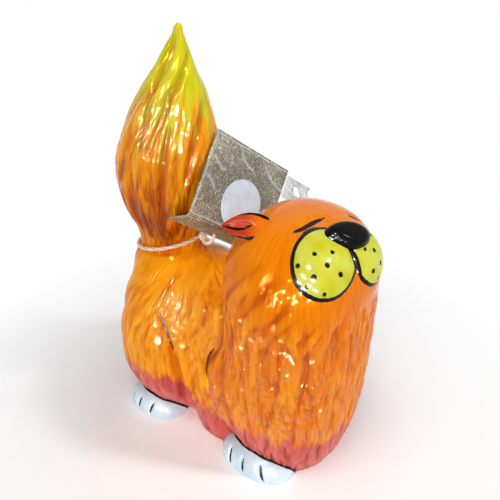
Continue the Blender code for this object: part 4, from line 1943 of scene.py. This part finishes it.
@dataclass
class Tag:
    """The folded glitter card with its clear film and its bare paper dot."""

    corner: Place = (-20.5, 9.7, 125.2)
    turn: float = -10.3
    lean: float = -12.4
    roll: float = 37.7
    fold: float = -104.0
    length: float = 51.0
    depth: float = 41.0
    flap: float = 13.0
    card: float = 0.8
    gap: float = 0.3
    film: float = 0.5
    tab: Place = (19.0, 27.0, 39.0)
    tab_hole: float = 5.0
    dot: Place = (26.8, 13.6, 12.5)
    dot_card: float = 0.4
    dot_steps: tuple[float, ...] = (0.25, 1.0, 2.5, 3.0)
    dot_lift: float = 0.25
    dot_clear: Spot = (1.0, 8.0)
    strip: float = 2.0
    edge: float = 0.16
    bow: float = 0.5
    bow_from: Spot = (20.0, 6.0)
    worn: float = 0.42
    worn_edge: float = 0.1
    punch: float = 6.0
    inset: float = 1.0
    sheet: float = 0.2
    crinkle: float = 0.25
    crinkle_spread: float = 0.45
    crinkle_rise: float = 0.35
    tab_wave: float = 2.2
    tab_rise: float = 1.5
    milky_edge: Spot = (0.2, 1.2)
    milky_hole: float = 1.2
    cells_per_mm: int = 2
    creases: tuple[tuple[Spot, ...], ...] = (
        ((1.4, 20.0), (5.0, 18.4), (8.0, 15.6), (12.4, 13.6)),
        ((3.0, 29.0), (8.6, 25.4), (11.0, 25.8)),
        ((16.0, 39.0), (21.0, 33.5), (28.5, 31.0)),
        ((34.0, 37.0), (41.0, 31.5), (50.0, 29.5)),
        ((40.0, 6.0), (45.5, 11.0), (48.0, 18.0)),
    )
    hole: Place = (27.0, 10.0, 1.4)

    def place(self) -> Matrix:
        """Gives the leaf's frame: X along the crease, Z up the leaf, -Y out of its face."""
        corner = Matrix.Translation(Vector(self.corner) * MM)
        return corner @ turned(self.turn, "Z") @ turned(self.lean, "X") @ turned(self.roll, "Y")

    def flap_place(self) -> Matrix:
        """Gives the flap's frame, folded from the leaf's."""
        return self.place() @ turned(self.fold, "X")

    def _card(self, name: str, depth: float, near: float, far: float) -> Piece:
        """Adds a flat card with eased edges and enough faces to bend, in millimetres.

        Args:
            name: The piece's name.
            depth: How far it reaches from the crease.
            near: Its lower face on Y.
            far: Its upper face on Y.

        Returns:
            The card in its local frame.
        """
        middle = (self.length / 2, (near + far) / 2, (depth + self.gap) / 2)
        card = begin(name, bpy.ops.mesh.primitive_cube_add, size=1.0, location=middle)
        card.scale = (self.length, far - near, depth - self.gap)
        settle(card)
        finish_with(card, "BEVEL", width=self.edge, segments=2, affect="EDGES")
        choose(card)
        bpy.ops.object.mode_set(mode="EDIT")
        for axis, size in ((0, self.length), (2, depth)):
            plane = np.eye(3)[axis]
            for at in np.arange(self.strip, size - self.strip / 2, self.strip):
                bpy.ops.mesh.select_all(action="SELECT")
                bpy.ops.mesh.bisect(plane_co=tuple(at * plane), plane_no=tuple(plane))
        bpy.ops.object.mode_set(mode="OBJECT")
        return card

    def build(self) -> None:
        """Makes the flap, the leaf, the crease, the film and the dot."""
        card = GlitterCard()
        flap = self._card("card_flap", self.flap, 0.0, self.card)
        across, up, radius = self.hole
        bit = rod("bit", radius, self.punch, 32, (across, self.card / 2, up), (math.pi / 2, 0, 0))
        finish_with(flap, "BOOLEAN", object=bit, operation="DIFFERENCE", solver="EXACT")
        bpy.data.objects.remove(bit)
        put_points(flap, moved(points_of(flap) * MM, self.flap_place()))
        dress(flap, Body.TIE, card, ["tag_flap"], crease=30)
        leaf = self._card("card_leaf", self.depth, -self.card, 0.0)
        points = points_of(leaf)
        points[:, 1] -= self._bow(points[:, 0], points[:, 2])
        put_points(leaf, moved(points * MM, self.place()))
        dress(leaf, Body.TAG, card, ["tag_leaf"], crease=30)
        self._crease(card)
        self._film()
        self._dot()

    def _bow(self, x: np.ndarray, z: np.ndarray) -> np.ndarray:
        """Tells how far the leaf bows towards its face, most at its free corner, in millimetres."""
        return self.bow * eased(z, self.bow_from[1], self.depth) * eased(x, self.bow_from[0], self.length)

    def _crease(self, card: Finish) -> None:
        """Closes the fold between the flap and the leaf with a worn round of card.

        Args:
            card: The card's finish.
        """
        middle = (self.length / 2, 0, 0)
        fold = rod("card_crease", self.worn, self.length - self.gap, 20, middle, (0, math.pi / 2, 0))
        finish_with(fold, "BEVEL", width=self.worn_edge, segments=2, limit_method="ANGLE")
        put_points(fold, moved(points_of(fold) * MM, self.place()))
        dress(fold, Body.TIE, card, crease=40)

    def _film_spots(self, film: Piece) -> tuple[np.ndarray, np.ndarray]:
        """Measures the flat film's vertices along the crease and up the leaf, in millimetres.

        Args:
            film: The flat film.

        Returns:
            The distances along and up.
        """
        points = points_of(film) + 0.5
        x = points[:, 0] * (self.length + self.tab[0])
        return x, self.inset + points[:, 1] * (self.depth - 2 * self.inset)

    def _from_hole(self, x: np.ndarray, z: np.ndarray) -> np.ndarray:
        """Measures outwards from the edge of the tab's hole, in millimetres."""
        tab, low, high = self.tab
        return np.hypot(x - (self.length + tab / 2), z - (low + high) / 2) - self.tab_hole / 2

    def _film(self) -> None:
        """Lays the crinkled film on the leaf, with its punched tab past the end."""
        tab, low, high = self.tab
        end = self.length + tab
        add = bpy.ops.mesh.primitive_grid_add
        across, up = int(end * self.cells_per_mm), int(self.depth * self.cells_per_mm)
        film = begin("film_sleeve", add, x_subdivisions=across, y_subdivisions=up, size=1.0)
        x, z = self._film_spots(film)
        gone = (x > self.length + self.gap) & ((z < low) | (z > high)) | (self._from_hole(x, z) < 0)
        pick_faces(film, np.array([gone[list(face.vertices)].any() for face in film.data.polygons]))
        bpy.ops.mesh.delete(type="FACE")
        bpy.ops.object.mode_set(mode="OBJECT")
        x, z = self._film_spots(film)
        spots = np.stack([x, z, np.zeros(len(x))], axis=1)
        folds = np.zeros(len(x))
        for crease in self.creases:
            line = tuple((*spot, 0.0) for spot in crease)
            away = np.maximum(Stroke(line, half_width=self.crinkle).distance(spots), 0)
            folds = np.maximum(folds, np.exp(-((away / self.crinkle_spread) ** 2)))
        free = folds * eased(np.hypot(x - self.dot[0], z - self.dot[1]) - self.dot[2], *self.dot_clear)
        loose = eased(x, self.length - 2, end)
        flat = -self.card - self.gap - self.film / 2
        wave = self.tab_wave * loose * np.sin(0.5 * (z - low)) + self.tab_rise * loose * loose
        rise = self.crinkle_rise * free + wave
        put_points(film, np.stack([x, flat - rise - self._bow(x, z), z], axis=1))
        edge = np.minimum.reduce([x, z - self.inset, self.depth - self.inset - z, end - x])
        rim = 1 - eased(edge, *self.milky_edge)
        hole_rim = 1 - eased(self._from_hole(x, z), 0, self.milky_hole)
        crumple = loose * (0.5 + 0.5 * np.sin(1.9 * z + 0.8 * x))
        crumple = crumple * (1 - eased(x, self.length + 7, end - 3))
        past = eased(x, self.length - 0.5, self.length + 1)
        # Milky along the creases, the edge and the hole, partly as painted highlight for their glints
        milky_and_glint = 0.4 * free + 0.45 * rim + past * (0.5 + 0.5 * crumple) + 0.6 * hole_rim
        grey = past * (0.3 + 0.9 * crumple + 0.5 * rim + 0.5 * hole_rim)
        put_mark(film, Mark.CURL, np.clip(milky_and_glint, 0, 1))
        put_mark(film, Mark.DYE, np.clip(grey, 0, 1))
        finish_with(film, "SOLIDIFY", thickness=self.sheet, offset=0.0)
        put_points(film, moved(points_of(film) * MM, self.place()))
        dress(film, Body.TAG, ClearFilm(), ["tag_film"], crease=60)

    def _dot(self) -> None:
        """Sticks the bare paper dot on the film."""
        x, z, radius = self.dot
        at = (x, -self.card - 2 * self.gap - self.film - self.dot_card / 2, z)
        disc = rod("paper_dot", radius, self.dot_card, 96, at, (math.pi / 2, 0, 0))
        pick_faces(disc, np.array([abs(face.normal.y) > 0.9 for face in disc.data.polygons]))
        for step in self.dot_steps:
            bpy.ops.mesh.inset(thickness=step, use_individual=True)
        bpy.ops.object.mode_set(mode="OBJECT")
        points = points_of(disc)
        away = np.hypot(points[:, 0] - x, points[:, 2] - z)
        curled = eased(away, 0.6 * radius, radius) * eased(points[:, 0] - x, 2, radius)
        points[:, 1] -= self.dot_lift * curled
        put_points(disc, moved(points * MM, self.place()))
        put_mark(disc, Mark.CURL, 0.8 * eased(away, radius - 0.5, radius))
        dress(disc, Body.TAG, StickerPaper(), ["price_dot"], crease=50)


@dataclass
class Studio:
    """A pale floor, soft light with small bright lamps for the glaze, and the camera."""

    camera_at: Place = (-187.2, -140.6, 240.0)
    heading: float = 55.0
    pitch: float = 30.9
    lens: float = 40.6
    sensor: float = 36.0
    nearest: float = 0.01
    floor_size: float = 12.0
    floor_colour: Colour = paint(250, 250, 251)
    bright_from: Spot = (0.07, 0.19)
    sky: float = 0.24
    key: float = 3.6
    key_size: float = 0.1
    key_at: Place = (0.2, -0.62, 0.78)
    looked_at: Place = (0.0, 0.0, 0.08)
    fills: tuple[Place, ...] = ((16.0, 22.0, 3.5), (30.0, 78.0, 3.9))
    fill_size: float = 0.4
    window: float = 13.0
    window_size: float = 0.065
    lamp_far: float = 1.15
    twin: float = 6.0
    windows: tuple[Spot, ...] = (
        (-6.0, 1.0),
        (28.0, 1.0),
        (12.0, 12.0),
        (40.0, 14.0),
        (0.0, 30.0),
        (30.0, 32.0),
        (14.0, 56.0),
    )

    def build(self) -> None:
        """Sets up the camera, the floor, the world and the lamps."""
        self._camera()
        self._floor()
        self._world()
        self._lamps()
        bpy.context.scene.view_settings.view_transform = "Standard"

    def _camera(self) -> None:
        """Stands the camera at the photograph's viewing angle."""
        made = bpy.data.objects.new("camera", bpy.data.cameras.new("camera"))
        bpy.context.scene.collection.objects.link(made)
        heading, pitch = math.radians(self.heading), math.radians(self.pitch)
        level = math.cos(pitch)
        ahead = Vector((math.sin(heading) * level, math.cos(heading) * level, -math.sin(pitch)))
        made.location = Vector(self.camera_at) * MM
        made.rotation_mode = "QUATERNION"
        made.rotation_quaternion = ahead.to_track_quat("-Z", "Y")
        made.data.sensor_width = self.sensor
        made.data.lens = self.lens
        made.data.clip_start = self.nearest
        bpy.context.scene.camera = made

    def _floor(self) -> None:
        """Lays a plain pale floor."""
        floor = begin("floor", bpy.ops.mesh.primitive_plane_add, size=self.floor_size)
        made = Recipe("pale_floor")
        made.set(Base_Color=self.floor_colour, Roughness=0.8, Specular_IOR_Level=0.1)
        away = made.add("ShaderNodeVectorMath", operation="LENGTH")
        made.feed(away.inputs[0], made.spot)
        fade = made.spread(away.outputs["Value"], *self.bright_from, 0.0, 1.0)
        rays = made.add("ShaderNodeLightPath").outputs
        seen = made.sum(made.sum(rays["Is Camera Ray"], rays["Is Glossy Ray"]), rays["Is Transmission Ray"])
        seen.node.use_clamp = True
        white = made.add("ShaderNodeEmission")
        blend = made.add("ShaderNodeMixShader")
        made.feed(blend.inputs[0], made.maths("MULTIPLY", fade, seen))
        made.links.new(made.shader.outputs[0], blend.inputs[1])
        made.links.new(white.outputs[0], blend.inputs[2])
        made.links.new(blend.outputs[0], made.nodes["Material Output"].inputs["Surface"])
        floor.data.materials.append(made.made)

    def _world(self) -> None:
        """Lights the scene evenly, and is white where it is seen or mirrored."""
        world = bpy.data.worlds.new("studio")
        bpy.context.scene.world = world
        world.use_nodes = True
        nodes, links = world.node_tree.nodes, world.node_tree.links
        sky = nodes["Background"]
        sky.inputs["Color"].default_value = (1.0, 1.0, 1.0, 1.0)
        level = nodes.new("ShaderNodeMapRange")
        level.inputs["To Min"].default_value = self.sky
        rays = nodes.new("ShaderNodeLightPath").outputs
        seen = rays["Is Camera Ray"]
        for name in ("Is Glossy Ray", "Is Transmission Ray"):
            either = nodes.new("ShaderNodeMath")
            either.operation = "MAXIMUM"
            links.new(seen, either.inputs[0])
            links.new(rays[name], either.inputs[1])
            seen = either.outputs[0]
        links.new(seen, level.inputs["Value"])
        links.new(level.outputs["Result"], sky.inputs["Strength"])

    def _lamps(self) -> None:
        """Hangs a key, soft fills, and pairs of small windows that only sparkle in the glaze."""
        self._hang("key", self.key, self.key_size, self.key_at)
        for k, (aside, up, power) in enumerate(self.fills):
            fill = self._hang(f"fill_{k}", power, self.fill_size, self._round(aside, up))
            fill.visible_glossy = False
        twins = [(aside + half, up) for aside, up in self.windows for half in (-self.twin / 2, self.twin / 2)]
        for k, (aside, up) in enumerate(twins):
            window = self._hang(f"window_{k}", self.window, self.window_size, self._round(aside, up))
            window.visible_diffuse = False

    def _round(self, aside: float, up: float) -> Place:
        """Gives a lamp's place from its angles to the left of the camera and above the floor.

        Args:
            aside: The angle to the left of the camera, in degrees.
            up: The angle above the floor, in degrees.

        Returns:
            The place in metres.
        """
        turn, lift = math.radians(self.heading + aside), math.radians(up)
        out = (-math.sin(turn) * math.cos(lift), -math.cos(turn) * math.cos(lift), math.sin(lift))
        return tuple(self.lamp_far * step for step in out)

    def _hang(self, name: str, power: float, size: float, at: Place) -> Piece:
        """Hangs a lamp that looks at the cat.

        Args:
            name: The lamp's name.
            power: Its power in watts.
            size: The side of its square in metres.
            at: Its place in metres.

        Returns:
            The lamp.
        """
        light = bpy.data.lights.new(name, "AREA")
        light.energy = power
        light.size = size
        made = bpy.data.objects.new(name, light)
        made.location = at
        made.rotation_mode = "QUATERNION"
        made.rotation_quaternion = (Vector(self.looked_at) - Vector(at)).to_track_quat("-Z", "Y")
        bpy.context.scene.collection.objects.link(made)
        return made


ORANGE = FurGlaze()
REAR_GLAZE = FurGlaze(
    name="rear_glaze",
    ridge=paint(255, 178, 34),
    middle=paint(248, 153, 12),
    deep=paint(234, 128, 4),
    pooled_and_seam_shade=paint(192, 84, 0),
    ripple=0.0028,
)
TAIL_GLAZE = FurGlaze(
    name="tail_glaze",
    ridge=paint(244, 172, 26),
    middle=paint(240, 152, 8),
    deep=paint(208, 108, 2),
    # The darkest tail colour, which the painted shade on the tail's foot reaches
    burnt_and_shade=paint(132, 54, 0),
    dye_ridge=paint(216, 212, 50),
    dye_middle=paint(200, 188, 6),
    dye_pooled=paint(160, 138, 8),
    ripple=0.0009,
)
WHITE = PaintedGlaze(name="paw_glaze")
YELLOW = PaintedGlaze(
    name="pad_glaze",
    slot="yellow_glaze",
    light=paint(214, 216, 88),
    dark=paint(202, 198, 14),
    patches=120.0,
)
BLACK = PaintedGlaze(
    name="nose_glaze",
    slot="black_glaze",
    light=paint(13, 12, 13),
    dark=paint(7, 7, 8),
    ink=paint(7, 7, 8),
    gloss=0.09,
)
CORAL = PaintedGlaze(
    name="ear_glaze",
    slot="coral_glaze",
    light=paint(200, 64, 28),
    dark=paint(184, 50, 18),
    wash=paint(228, 114, 12),
    patches=90.0,
    gloss=0.03,
    mirror=0.008,
)


def coats() -> tuple[Coat, ...]:
    """Describes the three coats of fur.

    Returns:
        The head and chest's coat, the rear body's and the tail's.
    """
    head = HeadChestCoat(
        name="head_chest_coat",
        node="head_chest_shell",
        finish=ORANGE,
        columns=720,
        side_rows=90,
        fan_rows=40,
        spring=98.0,
        axis=((0.0, -37.0, 0.0), (0.0, -37.0, 140.0)),
        lays=(
            Lay(
                density=2.6, length=(26, 44), half_width=(2.0, 3.6), depth=1.15, roots=(6, 122),
                wave=1.6, hairs=1.5, lean=0.08,
            ),
            Lay(
                density=1.8, length=(12, 22), half_width=(0.9, 1.6), depth=0.3, roots=(4, 126),
                wave=0.7, hairs=0.5, lean=0.1,
            ),
            Lay(
                density=1.8, length=(16, 34), half_width=(0.55, 0.95), depth=0.5, roots=(12, 124),
                wave=1.3, lean=0.08, cut=True,
            ),
        ),
        seed=11,
        thick_heights=(26, 44, 84, 104),
        strokes=EYES,
    )
    rear = RearCoat(
        name="rear_body_coat",
        node="rear_body_shell",
        finish=REAR_GLAZE,
        columns=700,
        side_rows=50,
        fan_rows=76,
        spring=48.0,
        axis=((0.0, 27.0, 0.0), (0.0, 27.0, 100.0)),
        block=((-28.0, -24.0, -1.0), (28.0, 4.0, 84.0)),
        lays=(
            Lay(
                density=2.4, length=(22, 40), half_width=(1.8, 3.2), depth=0.55, roots=(6, 91),
                wave=1.5, hairs=1.5, lean=0.1,
            ),
            Lay(
                density=3.0, length=(10, 20), half_width=(0.8, 1.4), depth=0.2, roots=(4, 92),
                wave=0.6, hairs=0.5, lean=0.12,
            ),
            Lay(
                density=2.2, length=(16, 34), half_width=(0.5, 0.9), depth=0.4, roots=(12, 92),
                wave=1.2, lean=0.1, cut=True,
            ),
        ),
        seed=23,
        thick_heights=(40, 56, 82, 90),
        strokes=tuple(stroke.on(side) for side in Side for stroke in FLANK_STROKES),
    )
    tail = TailCoat(
        name="tail_coat",
        node="tail",
        finish=TAIL_GLAZE,
        columns=480,
        side_rows=120,
        fan_rows=8,
        base=76.0,
        spring=196.6,
        trusted=95.0,
        axis=((0, 40, 76), (0, 40, 129.8), (0, 36.75, 152.7), (0, 31.94, 175.6), (0, 27.0, 198.5)),
        lays=(
            Lay(
                density=0.5, length=(60, 90), half_width=(5.5, 8.0), depth=1.3, roots=(84, 150),
                wave=2.0, hairs=1.0, lean=0.08,
            ),
            Lay(
                density=0.9, length=(24, 44), half_width=(1.6, 2.6), depth=0.3, roots=(80, 176),
                wave=0.8, hairs=1.0, lean=0.08,
            ),
            Lay(
                density=1.0, length=(20, 44), half_width=(0.6, 1.1), depth=0.4, roots=(80, 150),
                wave=1.0, lean=0.06, cut=True,
            ),
        ),
        seed=5,
        thick_heights=(108, 126, 164, 180),
        sense=1,
        smoothing=(6.0, 1.5),
        strokes=TAIL_STROKES,
        seam_reach=0.0,
    )
    return head, rear, tail


def sprigs() -> tuple[Sprig, ...]:
    """Describes the muzzle pads and the nose.

    Returns:
        The right pad, the left pad and the nose.
    """
    right = Sprig(
        "right_pad",
        "right_muzzle_pad",
        YELLOW,
        sideways=-23.2,
        lift=42.2,
        radii=(14.4, 16.8),
        tilt=-34,
        inner=1,
        dots=(
            (-4.6, 3.0, 0.85),
            (2.3, 2.8, 0.85),
            (-11.4, 0.0, 0.95),
            (-1.2, -1.8, 1.0),
            (-6.7, -5.3, 1.1),
            (3.7, -5.6, 1.1),
            (-9.6, -8.4, 0.9),
            (-3.5, -12.0, 0.85),
        ),
    )
    left = Sprig(
        "left_pad",
        "left_muzzle_pad",
        YELLOW,
        sideways=26,
        lift=36.0,
        radii=(14.2, 15.4),
        tilt=25,
        inner=-1,
        dots=(
            (-0.2, 0.0, 0.95),
            (0.8, -6.0, 0.95),
            (-5.5, -5.8, 1.0),
            (-4.6, 3.2, 0.85),
            (5.4, 4.6, 0.9),
            (7.4, -3.2, 0.85),
            (-1.8, -11.0, 0.85),
            (5.2, -9.6, 0.85),
        ),
    )
    nose = Sprig(
        "nose_button",
        "nose",
        BLACK,
        sideways=12.0,
        lift=53.0,
        radii=(11.2, 6.2),
        tilt=-29,
        raised=5.6,
        fullness=6.0,
        rim=0.0,
        point=0.12,
    )
    return right, left, nose


def paws() -> tuple[tuple[Paw, str], ...]:
    """Describes the four paws.

    Returns:
        Each paw with the name of the coat that it comes out of.
    """
    kinds = (
        ("front", "head_chest_coat", (25.0, -33.0), (14.2, 20.2, 13.0), FRONT_TOES),
        ("rear", "rear_body_coat", (25.0, 35.0), (12.7, 17.2, 12.0), REAR_TOES),
    )
    made = []
    for side in Side:
        hand = side.name.lower()
        for end, coat, centre, radii, toes in kinds:
            paw = Paw(f"{hand}_{end}_paw", f"{end}_{hand}_paw", WHITE, centre, radii, toes, side)
            made.append((paw, coat))
    return tuple(made)


def ears() -> tuple[Ear, ...]:
    """Describes the two ears.

    Returns:
        The right ear and the left ear.
    """
    right = Ear(
        "right_leaf_ear",
        "right_ear",
        CORAL,
        side=Side.RIGHT,
        base=(-15.4, -29.8, 128.4),
        tip=(-25.6, -12.8, 128.5),
        facing=(-0.5, -0.45, 0.74),
    )
    left = Ear(
        "left_leaf_ear",
        "left_ear",
        CORAL,
        side=Side.LEFT,
        base=(22.0, -32.4, 122.6),
        tip=(38.6, -28.6, 117.6),
        facing=(0.45, -0.2, 0.87),
    )
    return right, left


def main() -> None:
    """Builds every piece round the frame, and logs each finished piece's faces."""
    logging.basicConfig(level=logging.INFO, format="%(name)s: %(message)s")
    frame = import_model()
    Studio().build()
    worn = coats()
    skins = {coat.name: coat.stretch(frame["nodes"][coat.node]) for coat in worn}
    bare = {name: skin.tree() for name, skin in skins.items()}
    for coat in worn:
        seams = [bare[other.name] for other in worn if other is not coat and other.seam_reach]
        coat.carve(skins[coat.name], seams)
    face = FaceFrame()
    for sprig in sprigs():
        sprig.build(face, bare["head_chest_coat"])
    for ear in ears():
        ear.build()
    for paw, body in paws():
        paw.build(bare[body])
    tag = Tag()
    tag.build()
    Tie().build(tag)


if __name__ == "__main__":
    main()
